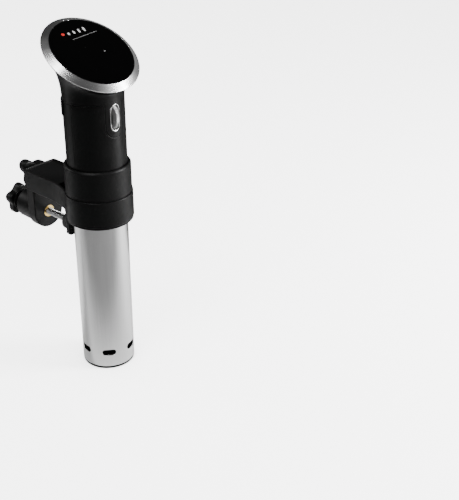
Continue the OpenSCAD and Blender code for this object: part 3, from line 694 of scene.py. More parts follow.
def head_patches():
    """The flared skin, and a tongue whose grid runs from the wheel's opening to its U edge."""
    front_x = np.linspace(-TONGUE_HALF, TONGUE_HALF, TONGUE_COLUMNS + 1)
    front = heading_of(front_x)
    rest = np.linspace(front[-1], front[0] + TAU, 97)[1:-1]
    heading = np.concatenate([front, rest])
    top = rim_at(heading, HEAD_RIM_R, -RIM_LIP)[:, 2]
    share = np.linspace(0, 1, HEAD_ROWS)[:, None]
    seam = np.full((1, len(heading)), HEAD_Z)
    heights = np.concatenate([seam, TONGUE_TOP + (top - TONGUE_TOP) * share])
    skin = head_skin(np.broadcast_to(heading, heights.shape), heights)
    cut = np.zeros((HEAD_ROWS, len(heading)), bool)
    cut[0, :TONGUE_COLUMNS] = True
    edge = u_line(TONGUE_HALF, TONGUE_ROUND_Z, HEAD_Z)
    across_top = np.stack([front_x[::-1], TONGUE_TOP + 0 * front_x], -1)
    edge = np.concatenate([edge, across_top])
    direction = np.arctan2(edge[:, 1] - WHEEL_Z, edge[:, 0])
    reach = oblong(direction - REAR, TRIM_HALF_H, TRIM_HALF_W)
    opening = np.stack([reach * np.cos(direction), WHEEL_Z + reach * np.sin(direction)], -1)
    tongue = between(opening, edge, 6)
    tongue = head_skin(heading_of(tongue[..., 0]), tongue[..., 1])
    return [patch(skin, close_columns=True, leave_out=cut), patch(tongue, close_columns=True)]


head = piece("head_shell", head_patches(), "housing", sheet=True)
walled(head, WALL, 0.25 * MM)

# %% [markdown]
# ## Rim, glass and printing
# The rim is turned from aluminium, so its section is drawn once and turned about the display's
# axis. Its corners are small arcs: without them no edge would catch the light. The glass is a
# flat disc with an eased edge, and the printing on it is plain bars and dots a hair thick.

# %% Rim and glass
SEAT_R = GLASS_R - 2.3 * MM
SEAT_H = RIM_RISE - GLASS_T - 0.4 * MM
rim_section = [(SEAT_R, -RIM_LIP), (RIM_R - 1.6 * MM, -RIM_LIP), (RIM_R, -RIM_EDGE / 2),
               (RIM_R, RIM_EDGE / 2), (RIM_R - RIM_FACE, RIM_RISE), (GLASS_R + 0.05 * MM, RIM_RISE),
               (GLASS_R + 0.05 * MM, SEAT_H), (SEAT_R, SEAT_H)]
rim_rounds = mm(0.3, 0.5, 0.3, 0.35, 0.04, 0.02, 0.2, 0.3)
piece("bezel_ring", placed(turned(rounded(rim_section, rim_rounds), 192), on_display), "housing")

GLASS_LOW = RIM_RISE - GLASS_T
glass_section = [(0, GLASS_LOW), (GLASS_R, GLASS_LOW), (GLASS_R, RIM_RISE), (0, RIM_RISE)]
glass_rounds = mm(0, 0.15, 0.3, 0)
glass_line = rounded(glass_section, glass_rounds, 4)
piece("display_glass", placed(turned(glass_line, 160, closed=False), on_display), "housing", crease=60)

# %% Generic printing on the glass
INK = 0.03 * MM
SPECKS_PER_METRE = 2400.0


def printed(name, tone):
    """Ink: its own colour, a little uneven, as screen printing leaves it."""
    tree, shader, place = material(name)
    uneven = cloud(tree, place, SPECKS_PER_METRE, 3.0)
    darker = colour(*(0.8 * channel for channel in tone[:3]))
    tree.links.new(blended(tree, uneven, darker, tone), shader.inputs["Base Color"])
    tree.links.new(spread(tree, uneven, 0.2, 0.8, 0.35, 0.5), shader.inputs["Roughness"])
    return FINISH[name]


def inked(outline):
    """A film of ink with that outline, on the glass."""
    return slab(outline, RIM_RISE - INK / 2, RIM_RISE + INK, INK / 3, 1)


def bar(left, low, width, height, skew=0.0):
    """A printed bar with round corners. It may lean across by skew."""
    right = left + width
    outline = [(left, low), (right, low + skew), (right, low + skew + height), (left, low + height)]
    return inked(rounded(outline, 0.45 * min(width, height), 3))


def ink(name, patches, tone):
    """Makes printing that rides with the housing and shows beside the glass."""
    made = piece("display_glass", placed(patches, on_display), "housing", stands_for=(), name=name)
    made.data.materials[0] = printed(name, tone)
    return made


BAR_LEFT = -17.5 * MM
BAR_LOW = 25.2 * MM
bar_heights = mm(3.0, 3.8, 4.6, 5.4)
white_bars = [bar(BAR_LEFT + (7.5 + 6.6 * count) * MM, BAR_LOW, 2.2 * MM, tall)
              for count, tall in enumerate(bar_heights)]
ink("print_bars", sum(white_bars, []), grey(0.42))
drop_turn = np.linspace(0, TAU, 24, endpoint=False)
drop = circle(drop_turn) * 1.7 * MM + [BAR_LEFT + 1.9 * MM, BAR_LOW + 2.2 * MM]
ink("print_dot", inked(drop), colour(0.45, 0.02, 0.015))
ink("print_rule", bar(-10.2 * MM, 18.6 * MM, 33 * MM, 0.45 * MM, 3.2 * MM), grey(0.16))
ink("print_mark", bar(12.1 * MM, -4.1 * MM, 2.3 * MM, 1.1 * MM), grey(0.12))

# %% [markdown]
# ## Body shells, vent and cord inlet
# Two half shells close round the works. The front one has a U cut out for the tongue, and the
# rear one has the louvres and the inlet. A boolean would cut these holes and leave long thin
# faces that shade badly. Instead each hole gets its own cell of grid, which runs from the
# hole's outline to the cell's frame, and the plain grid around it shares that frame's points.

# %% Cells with holes, wrapped round an axis


def pierced_band(radius, low, high, cells, rows_up, rings=3):
    """A band round the axis, made of cells (heading, half angle, columns, hole). A hole is None
    or a function from direction to distance, measured from the cell's middle in side view."""
    patches, columns = [], []
    middle_z = (low + high) / 2
    for heading, half, across, hole in cells:
        wide = np.linspace(-radius * np.sin(half), radius * np.sin(half), across + 1)
        columns.append(heading_of(wide, heading, radius))
        tall = np.linspace(low, high, rows_up + 1)
        if hole is None:
            x, z = np.meshgrid(wide, tall, indexing="xy")
        else:
            bottom = np.stack([wide[:-1], low + 0 * wide[:-1]], -1)
            side = np.stack([wide[-1] + 0 * tall[:-1], tall[:-1]], -1)
            top = np.stack([wide[:0:-1], high + 0 * wide[1:]], -1)
            back = np.stack([wide[0] + 0 * tall[1:], tall[:0:-1]], -1)
            frame_line = np.concatenate([bottom, side, top, back])
            direction = np.arctan2(frame_line[:, 1] - middle_z, frame_line[:, 0])
            reach = hole(direction)
            hole_line = np.stack([reach * np.cos(direction), middle_z + reach * np.sin(direction)], -1)
            x, z = np.moveaxis(between(hole_line, frame_line, rings), -1, 0)
        turn = heading_of(x, heading, radius)
        points = on_cylinder(radius, turn, z)
        patches.append(patch(points, close_columns=hole is not None))
    return patches, np.concatenate(columns)


def plain_band(radius, headings, heights):
    """A grid on a cylinder, with a column at each heading and a row at each height."""
    turn, z = np.meshgrid(headings, heights)
    return patch(on_cylinder(radius, turn, z))


# %% Front shell
U_GAP = SEAM_GAP
U_HALF = TONGUE_HALF + U_GAP
CELL_HALF = 14.6 * MM
CELL_LOW = TONGUE_Z - 6 * MM
FRONT_HALF = np.radians(85.35)
BODY_ROWS = np.linspace(BODY_Z, CELL_LOW, 22)


def front_shell_patches():
    """The U's own cell, the plain grids at both sides of it and the grid below."""
    u_edge = u_line(U_HALF, TONGUE_ROUND_Z, BODY_TOP)
    side_z = np.concatenate([u_edge[:10, 1], np.linspace(TONGUE_ROUND_Z, CELL_LOW, 7)])
    below_x = np.linspace(-CELL_HALF, CELL_HALF, 13)
    left = np.stack([-CELL_HALF + 0 * side_z, side_z], -1)
    frame_line = np.concatenate([left[:-1], np.stack([below_x, CELL_LOW + 0 * below_x], -1),
                                 (left * [-1, 1])[:-1][::-1]])
    x, z = np.moveaxis(between(u_edge, frame_line, 4), -1, 0)
    turn = heading_of(x)
    cell = patch(on_cylinder(BODY_R, turn, z))
    edge_turn = heading_of(np.array([-CELL_HALF, CELL_HALF]))
    left_turn = np.linspace(FRONT - FRONT_HALF, edge_turn[0], 20)
    right_turn = np.linspace(edge_turn[1], FRONT + FRONT_HALF, 20)
    columns = np.concatenate([left_turn, heading_of(below_x)[1:-1], right_turn])
    return [cell, plain_band(BODY_R, left_turn, side_z), plain_band(BODY_R, right_turn, side_z),
            plain_band(BODY_R, columns, BODY_ROWS)]


front_shell = piece("body_front_shell", front_shell_patches(), "housing", sheet=True)
walled(front_shell, WALL, 0.25 * MM)

# %% Rear shell and vent band
VENT_Z = corners("rear_vent")[0][2]
VENT_R = corners("rear_vent")[1][1]
INLET_R = 6.5 * MM
LOUVRES = 6
LOUVRE_START, LOUVRE_STEP = np.radians(20), np.radians(42 / (LOUVRES - 1))
LOUVRE_HALF_W = 1 * MM
LOUVRE_HALF_H = (BODY_TOP - VENT_Z - 5 * MM) / 2


def vent_cells(outer_half):
    """Cells round the back: the inlet's in the middle, the louvres at both sides, plain ends."""
    inner = LOUVRE_START - LOUVRE_STEP / 2
    outer = LOUVRE_START + LOUVRE_STEP * (LOUVRES - 0.5)
    ends = (outer_half + outer) / 2, (outer_half - outer) / 2
    end_columns = max(2, int(np.degrees(ends[1])))
    cells = [(REAR, inner, 14, lambda direction: INLET_R + 0 * direction)]
    for side in (-1, 1):
        cells.append((REAR + side * ends[0], ends[1], end_columns, None))
        cells += [(REAR + side * (LOUVRE_START + count * LOUVRE_STEP), LOUVRE_STEP / 2, 4,
                   lambda direction: oblong(direction - REAR, LOUVRE_HALF_H, LOUVRE_HALF_W))
                  for count in range(LOUVRES)]
    return sorted(cells, key=lambda cell: cell[0])


band, band_columns = pierced_band(BODY_R, VENT_Z, BODY_TOP, vent_cells(np.radians(94.5)), 10)
band.append(plain_band(BODY_R, band_columns, np.linspace(BODY_Z, VENT_Z, 24)))
walled(piece("body_rear_shell", band, "housing", sheet=True), WALL, 0.2 * MM)
vent = pierced_band(VENT_R, VENT_Z, BODY_TOP, vent_cells(np.radians(68)), 10)[0]
walled(piece("rear_vent", vent, "housing", sheet=True), VENT_R - BODY_R, 0.35 * MM, 3)

# %% Cord inlet
inlet_low, inlet_high = corners("cord_inlet")
inlet_z = middle("cord_inlet")[2]
BORE_R = 3.6 * MM
FLANGE_R, NOSE_R = INLET_R + 1.4 * MM, INLET_R - 0.1 * MM
FLANGE_Y = inlet_low[1] + 2.4 * MM
inlet_section = [(BORE_R, inlet_low[1]), (FLANGE_R, inlet_low[1]), (FLANGE_R, FLANGE_Y),
                 (NOSE_R, FLANGE_Y), (NOSE_R, inlet_high[1]), (BORE_R, inlet_high[1])]
inlet_line = rounded(inlet_section, mm(0.3, 0.3, 0.3, 0.2, 1.3, 1.0))
piece("cord_inlet", placed(turned(inlet_line, 64), facing_y(inlet_z)), "housing")

# %% [markdown]
# ## Scroll wheel and its trim
# The wheel lies across the body and fills an oblong opening, so it is crowned like a tyre. Its
# fine ribs give a thumb grip. The trim is a bright bead: one small section is carried round an
# oblong and laid on the body's curve.

# %% Trim
TRIM_RIM = 1.2 * MM
TRIM_PROUD = 0.45 * MM
TRIM_DEPTH = 1.2 * MM


def bead_patch():
    """The bead's section is set across the oblong's outline, with its height as added radius."""
    box = [(0, -TRIM_DEPTH), (0, TRIM_PROUD), (-TRIM_RIM, TRIM_PROUD), (-TRIM_RIM, -TRIM_DEPTH)]
    section = rounded(box, mm(0.1, 0.5, 0.5, 0.1))
    core = TRIM_HALF_H - TRIM_HALF_W
    turn = np.linspace(0, np.pi, 33)
    top = circle(turn)
    normal = np.concatenate([top, -top])
    centre_z = WHEEL_Z + np.repeat([core, -core], len(turn))
    reach = TRIM_HALF_W + section[:, 0]
    x = normal[:, :1] * reach
    z = centre_z[:, None] + normal[:, 1:] * reach
    y = -np.sqrt((BODY_R + section[:, 1]) ** 2 - x**2)
    return patch(np.stack([x, y, z], -1), close_rows=True, close_columns=True)


piece("wheel_trim", [bead_patch()], "housing", crease=60)

# %% Wheel
WHEEL_R = (corners("scroll_wheel")[1][2] - corners("scroll_wheel")[0][2]) / 2
WHEEL_HALF = corners("scroll_wheel")[1][0]
RIBS = 84
RIB_DEPTH = 0.22 * MM


def wheel_patch():
    """A tyre section turned about x. Its tread goes in and out by RIB_DEPTH, as a cosine of the
    heading raised to a power, so that the ribs are round and the valleys between them narrow."""
    axle, hub, rim = 2 * MM, 5 * MM, WHEEL_R - 3.5 * MM
    recess = WHEEL_HALF - 1.5 * MM
    half_section = [(axle, WHEEL_HALF), (hub, WHEEL_HALF), (hub, recess), (rim, recess),
                    (rim, WHEEL_HALF), (WHEEL_R - 1.9 * MM, WHEEL_HALF),
                    (WHEEL_R, WHEEL_HALF - 2.6 * MM)]
    rounds = mm(0.2, 0.3, 0.3, 0.3, 0.3, 0.5, 2.4)
    section = half_section + [(radius, -x) for radius, x in half_section[::-1]]
    line = rounded(section, np.concatenate([rounds, rounds[::-1]]), 6)
    turn = np.linspace(0, TAU, RIBS * 6, endpoint=False)[:, None]
    tread = np.clip((line[:, 0] - (WHEEL_R - 1.6 * MM)) / (1.2 * MM), 0, 1)
    valley = (0.5 - 0.5 * np.cos(turn * RIBS)) ** 3
    radius = line[:, 0] - RIB_DEPTH * valley * tread
    points = np.stack([line[:, 1] + 0 * turn, WHEEL_MIDDLE[1] + radius * np.cos(turn),
                       WHEEL_MIDDLE[2] + radius * np.sin(turn)], -1)
    return patch(points, close_rows=True, close_columns=True)


piece("scroll_wheel", [wheel_patch()], "wheel", crease=50)

# %% [markdown]
# ## Steel skirt and base cap
# The skirt is a drawn steel tube with oblong slots punched round its foot, and the base cap
# plugs its end. The slots' cells share the grid of the plain tube above and below them.

# %% Skirt
skirt_low, skirt_high = corners("skirt")
SKIRT_R = 28.5 * MM
SHEET = 1.0 * MM
SLOTS = 6
SLOT_START = np.radians(-40)
SLOT_HALF_L, SLOT_HALF_H = 7.5 * MM, 3.5 * MM
SLOT_Z = 21 * MM
SLOT_BAND = 7 * MM
slot_cells = [(FRONT + SLOT_START + count * TAU / SLOTS, TAU / SLOTS / 2, 20,
               lambda direction: oblong(direction, SLOT_HALF_L, SLOT_HALF_H)) for count in range(SLOTS)]
wall, wall_columns = pierced_band(SKIRT_R, SLOT_Z - SLOT_BAND, SLOT_Z + SLOT_BAND, slot_cells, 10, 5)
wall.append(plain_band(SKIRT_R, wall_columns, np.linspace(skirt_low[2], SLOT_Z - SLOT_BAND, 8)))
wall.append(plain_band(SKIRT_R, wall_columns, np.linspace(SLOT_Z + SLOT_BAND, skirt_high[2], 40)))
walled(piece("skirt", wall, "skirt", sheet=True), SHEET, 0.2 * MM, 3)

# %% Base cap
CAP_R = SKIRT_R - 0.3 * MM
SPIGOT_R = SKIRT_R - SHEET - 0.3 * MM
CAP_IN = SPIGOT_R - 2 * MM
CAP_H, CAP_TOP = 3 * MM, corners("base_cap")[1][2]
CAP_FLOOR = 2.4 * MM
HOLE_Y, HOLE_HALF_L, HOLE_HALF_W = -17 * MM, 12 * MM, 4 * MM


def cap_patches():
    """A turned rim, and a floor between the rim's circle and the oblong water hole."""
    side = rounded([(CAP_IN, CAP_FLOOR), (CAP_IN, CAP_TOP), (SPIGOT_R, CAP_TOP),
                    (SPIGOT_R, CAP_H), (CAP_R, CAP_H), (CAP_R, 0), (CAP_IN, 0)],
                   mm(0, 0.5, 0.5, 0.3, 0.6, 0.8, 0), 4)
    turn = np.linspace(0, TAU, 96, endpoint=False)
    ring = CAP_IN * circle(turn)
    direction = np.arctan2(ring[:, 1] - HOLE_Y, ring[:, 0])
    reach = oblong(direction, HOLE_HALF_L, HOLE_HALF_W)
    hole = np.stack([reach * np.cos(direction), HOLE_Y + reach * np.sin(direction)], -1)
    plan = between(hole, ring, 8)
    floor = [np.concatenate([plan, np.full(plan.shape[:2] + (1,), z)], -1) for z in (0.0, CAP_FLOOR)]
    hole_wall = np.stack([floor[0][0], floor[1][0]])
    return turned(side, 96, closed=False) + [patch(floor[0], close_columns=True),
                                            patch(floor[1], close_columns=True),
                                            patch(hole_wall, close_columns=True)]


piece("base_cap", cap_patches(), "base_cap")

# %% [markdown]
# ## Clamp collar and bracket
# A split collar grips the body, and the bracket's ring turns under its shoulder. The bracket is
# one thick moulding: a ring, an arm with hollow corners and a shallow tray, a leg with a boss
# for the pot screw and an inner jaw. Each of those is a simple solid with rounded edges, and
# here a boolean is the right tool, because the moulding really is their union.

# %% Collar and its snap ring
SHOULDER_R = 34.4 * MM
NECK_R = 33.0 * MM
COLLAR_IN = BODY_R + 0.3 * MM
collar_low, collar_high = corners("clamp_collar")
RING_LOW, RING_TOP = 177.3 * MM, 205.2 * MM
SHOULDER_Z = RING_TOP + 0.3 * MM
SPLIT = np.radians(35)
SPLIT_HALF = np.arcsin(1 * MM / NECK_R)
collar_section = [(COLLAR_IN, collar_low[2]), (NECK_R, collar_low[2]), (NECK_R, SHOULDER_Z),
                  (SHOULDER_R, SHOULDER_Z), (SHOULDER_R, collar_high[2] - 1.6 * MM),
                  (NECK_R + 0.2 * MM, collar_high[2]),
                  (COLLAR_IN, collar_high[2])]
collar_line = rounded(collar_section, mm(0.2, 0.3, 0.2, 0.5, 1.0, 0.9, 0.45), 6)
piece("clamp_collar", turned(collar_line, 160, SPLIT + SPLIT_HALF, SPLIT - SPLIT_HALF + TAU), "collar")

snap_low, snap_high = corners("collar_snap_ring")
snap_section = [(COLLAR_IN, snap_low[2]), (snap_high[0], snap_low[2]), (snap_high[0], snap_high[2]),
                (COLLAR_IN, snap_high[2])]
piece("collar_snap_ring", turned(rounded(snap_section, mm(0.3, 0.8, 0.3, 0.2)), 160), "collar")

# %% Solids of the bracket
RING_IN, RING_R = 33.3 * MM, 35.4 * MM
ARM_HALF = 21.8 * MM
ARM_END = 99.4 * MM
ARM_LOW, ARM_TOP = 184 * MM, 206.4 * MM
ARM_WALL = 2.5 * MM
ARM_FILLET = 80 * MM
TRAY_Z = 205.2 * MM
LEG_Y = 87.4 * MM
LEG_R = 19 * MM
BOSS_R, BOSS_END = 17 * MM, corners("clamp_bracket")[1][1]
POT_Z = middle("pot_screw")[2]
LOCK_Z = middle("lock_screw")[2]
JAW_FACE = 41.1 * MM
JAW_HALF, JAW_LOW, JAW_TOP = 14 * MM, POT_Z - 9 * MM, ARM_LOW + 4 * MM
JAW_THICK = 5 * MM
HALF_WAY = 60 * MM
TRAY_FLOOR = 2.3 * MM
LEG_ROOT = 8 * MM


def arm_line(draw_in=0.0, end_round=3.0 * MM, steps=20):
    """The arm in plan: from where the hollow corner leaves the ring, along one side, round the
    end and back. The hollow corner's centre is where its circle touches ring and side."""
    x = ARM_HALF + ARM_FILLET
    y = np.sqrt((RING_R + ARM_FILLET) ** 2 - x**2)
    hollow_r = ARM_FILLET + draw_in
    turn = np.linspace(np.pi + np.arctan2(y, x), np.pi, steps)
    hollow = np.stack([x + hollow_r * np.cos(turn), y + hollow_r * np.sin(turn)], -1)
    round_r = end_round - draw_in
    corner_turn = np.linspace(0, REAR, 9)
    centre = np.array([ARM_HALF - end_round, ARM_END - end_round])
    corner = centre + round_r * circle(corner_turn)
    side = np.concatenate([hollow, corner])
    return np.concatenate([side, (side * [-1, 1])[::-1]])


def arm_wall():
    """The wall's upright section, carried along the arm's outline."""
    section = rounded([(0, ARM_LOW), (0, ARM_TOP), (ARM_WALL, ARM_TOP), (ARM_WALL, ARM_LOW)],
                      mm(0.7, 0.7, 0.4, 0.7), 4)
    path = np.stack([arm_line(inward) for inward in section[:, 0]], 1)
    points = np.concatenate([path, np.broadcast_to(section[:, 1:], path.shape[:2] + (1,))], -1)
    return tube(points)


def upright(outline, near, far, edge):
    """A slab whose outline is given as (x, z) and whose thickness runs along y."""
    patches = slab(outline, near, far, edge)
    return placed(patches, lambda points: points[:, [0, 2, 1]])


def box_outline(half_x, low, high, corner):
    """A rectangle about x = 0 with round corners."""
    return rounded([(-half_x, low), (half_x, low), (half_x, high), (-half_x, high)], corner, 5)


def leg_outline():
    """The leg in end view: straight sides into the arm, and a half circle round the pot screw."""
    turn = np.linspace(np.pi, TAU, 41)
    foot = np.stack([LEG_R * np.cos(turn), POT_Z + LEG_R * np.sin(turn)], -1)
    return np.concatenate([foot, [(LEG_R, ARM_LOW + LEG_ROOT), (-LEG_R, ARM_LOW + LEG_ROOT)]])


def rod_y(radius, near, far, height, edge=0.0, sides=96):
    """A solid rod along y with eased ends."""
    line = rounded([(0, near), (radius, near), (radius, far), (0, far)], [0, edge, edge, 0], 4)
    return placed(turned(line, sides, closed=False), facing_y(height))


def ring_solid():
    section = [(RING_IN, RING_LOW), (RING_R, RING_LOW), (RING_R, RING_TOP), (RING_IN, RING_TOP)]
    return turned(rounded(section, mm(0.4, 0.7, 0.6, 0.3)), 192)


def boss_solid():
    """The boss has a small hollow fillet at its root, a slight draft and an eased rim."""
    root_r, root_y = BOSS_R + 1.8 * MM, ARM_END - 3 * MM
    section = [(0, root_y), (root_r, root_y), (root_r, ARM_END), (BOSS_R, ARM_END + 1.8 * MM),
               (BOSS_R - 0.4 * MM, BOSS_END), (0, BOSS_END)]
    line = rounded(section, mm(0, 0, 0, 2.5, 1.2, 0), 6)
    return placed(turned(line, 96, closed=False), facing_y(POT_Z))


def jaw_solids():
    """The inner jaw's plate, and the block that ties it to the ring and the arm."""
    plate = box_outline(JAW_HALF, JAW_LOW, JAW_TOP, mm(3, 3, 0.5, 0.5))
    block = box_outline(JAW_HALF, RING_LOW + 0.2 * MM, JAW_TOP, 0.8 * MM)
    root_line = arm_line(0.6 * MM)
    root = root_line[root_line[:, 1] < HALF_WAY]
    root[:, 1] = np.minimum(root[:, 1], JAW_FACE + 1 * MM)
    return [upright(plate, JAW_FACE - JAW_THICK, JAW_FACE, 0.8 * MM),
            upright(block, RING_IN + 1 * MM, JAW_FACE - 0.3 * MM, 0.3 * MM),
            slab(root, ARM_LOW + 0.3 * MM, TRAY_Z, 0.3 * MM, 2)]


def arm_solids():
    """The tray's floor, the solid end block, and the leg."""
    deck = arm_line(0.9 * MM)
    block = np.array([(-1, 0), (1, 0), (1, 1), (-1, 1)]) * [ARM_HALF - 0.9 * MM, 1]
    block[:, 1] = np.where(block[:, 1] > 0, ARM_END - 0.9 * MM, LEG_Y)
    return [slab(deck, TRAY_Z - TRAY_FLOOR, TRAY_Z, 0.1 * MM, 1),
            slab(rounded(block, 2 * MM), ARM_LOW + 0.1 * MM, TRAY_Z - 0.2 * MM, 0.8 * MM),
            upright(leg_outline(), LEG_Y, ARM_END, 1.2 * MM)]


# %% Union and cuts


def combined(first, others, operation):
    """Applies an exact boolean with each other solid in turn and removes the others."""
    for other in others:
        step = first.modifiers.new("step", "BOOLEAN")
        step.operation = operation
        step.solver = "EXACT"
        step.object = other
        evaluated = first.evaluated_get(bpy.context.evaluated_depsgraph_get())
        result = bpy.data.meshes.new_from_object(evaluated)
        first.modifiers.clear()
        first.data = result
        bpy.data.objects.remove(other)
    return first


def from_solid(solid):
    """The solid's mesh as one patch, so that it can become a piece."""
    mesh = solid.data
    points = np.zeros(len(mesh.vertices) * 3)
    mesh.vertices.foreach_get("co", points)
    faces = [list(face.vertices) for face in mesh.polygons]
    bpy.data.objects.remove(solid)
    return [(points.reshape(-1, 3), faces)]


ROOM_LOW, ROOM_TOP = mm(150, 230)
ROOM_R = SHOULDER_R + 0.3 * MM
LOCK_PAD_ROOM_R, LOCK_BORE_R, LOCK_INSERT_R = mm(6.4, 3.5, 5.6)
POT_BORE_R, POT_INSERT_R = mm(4.5, 6.6)
INSERT_FROM, INSERT_TO = LEG_Y - 1 * MM, LEG_Y + 9 * MM
BORE_TO = 140 * MM

solids = [arm_wall(), *arm_solids(), boss_solid(), *jaw_solids()]
bracket = combined(raw_solid(ring_solid()), [raw_solid(solid) for solid in solids], "UNION")
room = rounded([(0, ROOM_LOW), (RING_IN, ROOM_LOW), (RING_IN, RING_TOP), (ROOM_R, RING_TOP),
                (ROOM_R, ROOM_TOP), (0, ROOM_TOP)], 0.0)
cutters = [turned(room, 192, closed=False),
           rod_y(LOCK_PAD_ROOM_R, RING_IN - 3 * MM, JAW_FACE + 6 * MM, LOCK_Z),
           rod_y(LOCK_BORE_R, RING_IN - 1 * MM, BORE_TO, LOCK_Z),
           rod_y(LOCK_INSERT_R, INSERT_FROM, INSERT_TO, LOCK_Z),
           rod_y(POT_BORE_R, JAW_FACE + 5 * MM, BORE_TO, POT_Z),
           rod_y(POT_INSERT_R, INSERT_FROM, INSERT_TO, POT_Z)]
bracket = combined(bracket, [raw_solid(cutter) for cutter in cutters], "DIFFERENCE")
piece("clamp_bracket", from_solid(bracket), "bracket", crease=28)

# %% [markdown]
# ## Knobs, screws and pads
# Two screws hold the clamp: a five-lobed knob for the pot and a three-lobed one for the lock.
# A knob's outline is one wave round its hub, so it has no corners to hurt a hand. The screws
# could be plain rods, but real threads catch the light. The radius at a point depends on its
# height along the screw and its heading, which winds the groove into a helix.

# %% Knobs
KNOB_R = 18 * MM
LOBE_POWER = 0.95


def knob_outline(crest, lobes, hub_r):
    """Distance = hub + (reach - hub) ((1 + cos(lobes (a - crest))) / 2)^0.95, as (x, z)."""
    turn = np.linspace(0, TAU, 180, endpoint=False)
    wave = ((1 + np.cos(lobes * (turn - crest))) / 2) ** LOBE_POWER
    distance = hub_r + (KNOB_R - hub_r) * wave
    return np.stack([distance * np.cos(turn), distance * np.sin(turn)], -1)


def knob(node, body, height, crest, lobes, hub_r):
    """A lobed plate with full rims, and a low round boss on the side that meets the clamp."""
    low, high = corners(node)
    plate = slab(knob_outline(np.radians(crest), lobes, hub_r), low[1] + 1.2 * MM, high[1], 2.6 * MM, 6)
    plate = placed(plate, lambda points: points[:, [0, 2, 1]] + [0, 0, height])
    hub = rod_y(hub_r - 1 * MM, low[1], high[1] - 4 * MM, height, 0.4 * MM, 64)
    solid = combined(raw_solid(plate), [raw_solid(hub)], "UNION")
    return piece(node, from_solid(solid), body, crease=30)


knob("pot_knob", "pot_screw", POT_Z, 16, 5, 14 * MM)
knob("lock_knob", "lock_screw", LOCK_Z, 12, 3, 9.2 * MM)

# %% Threaded screws
GROOVE = 0.55
ROWS_PER_TURN = 8
TAPER_LENGTH, TAPER = 1.2 * MM, 1.1 * MM


def screw(node, body, radius, pitch, height):
    """The groove's depth at a point is a rounded saw of z / pitch - heading / turn, and the
    screw's ends taper so that it has no raw edge."""
    low, high = corners(node)
    depth = GROOVE * pitch
    steps = int((high[1] - low[1]) / pitch * ROWS_PER_TURN)
    along = np.linspace(low[1], high[1], steps)[:, None]
    turn = np.linspace(0, TAU, 28, endpoint=False)
    phase = (along / pitch - turn / TAU) % 1
    groove = np.clip(np.abs(2 * phase - 1) * 1.35 - 0.15, 0, 1)
    from_end = np.minimum(along - low[1], high[1] - along)
    taper = np.clip(from_end / TAPER_LENGTH, 0, 1) * TAPER - TAPER
    reach = radius - depth * (1 - groove) + taper
    points = np.stack([reach * np.cos(turn), along + 0 * turn, height + reach * np.sin(turn)], -1)
    return piece(node, tube(points), body, crease=70)


screw("pot_screw", "pot_screw", 4 * MM, 1.25 * MM, POT_Z)
screw("lock_screw", "lock_screw", 3 * MM, 1.0 * MM, LOCK_Z)

# %% Pads
PAD_FLOOR = 2 * MM


def screw_pad(node, bore_r, height):
    """A rubber foot: a turned cup whose face has two shallow rings."""
    low, high = corners(node)
    radius = high[0]
    face = [(0, low[1]), (radius * 0.3, low[1]), (radius * 0.36, low[1] + 0.35 * MM),
            (radius * 0.5, low[1] + 0.35 * MM), (radius * 0.56, low[1]), (radius, low[1])]
    back = [(radius, high[1]), (bore_r, high[1]), (bore_r, low[1] + PAD_FLOOR), (0, low[1] + PAD_FLOOR)]
    rounds = mm(0, 0.15, 0.15, 0.15, 0.15, 0.9, 0.8, 0.3, 0, 0)
    cup = turned(rounded(face + back, rounds), 72, closed=False)
    return piece(node, placed(cup, facing_y(height)), node)


screw_pad("pot_pad", 4.05 * MM, POT_Z)
screw_pad("lock_pad", 3.05 * MM, LOCK_Z)

jaw_low, jaw_high = corners("jaw_pad")
JAW_RIBS = 9


def jaw_pad_patches():
    """A rubber plate whose face is waved: y = face - depth cos^2 of the height's share."""
    height = np.linspace(jaw_low[2], jaw_high[2], JAW_RIBS * 10 + 1)[:, None]
    across = np.linspace(jaw_low[0], jaw_high[0], 15)
    share = (height - jaw_low[2]) / (jaw_high[2] - jaw_low[2])
    wave = 0.5 * MM * np.cos(np.pi * JAW_RIBS * share) ** 6
    face_y = jaw_high[1] - wave + 0 * across
    front = np.stack([across + 0 * height, face_y, height + 0 * across], -1)
    back = np.stack([across + 0 * height, jaw_low[1] + 0 * face_y, height + 0 * across], -1)
    rims = [np.stack([front[0], back[0]]), np.stack([front[-1], back[-1]]),
            np.stack([front[:, 0], back[:, 0]]), np.stack([front[:, -1], back[:, -1]])]
    return [patch(front), patch(back)] + [patch(rim) for rim in rims]


eased(piece("jaw_pad", jaw_pad_patches(), "bracket", crease=40), 0.3 * MM, 2, 60)

# %% [markdown]
# ## The wet end
# When the skirt is pulled off, the heater, the pump and the probes show. The heater is one
# sheathed tube bent into hairpins: a circle carried along a path of two straight legs and a
# half circle. The impeller's blades sweep back, which moves water with less noise.

# %% Heater
heater_low, heater_high = corners("heater_element")
HEATER_R = 3.2 * MM
HEATER_AT = 16.75 * MM
BEND_R = 5.192 * MM


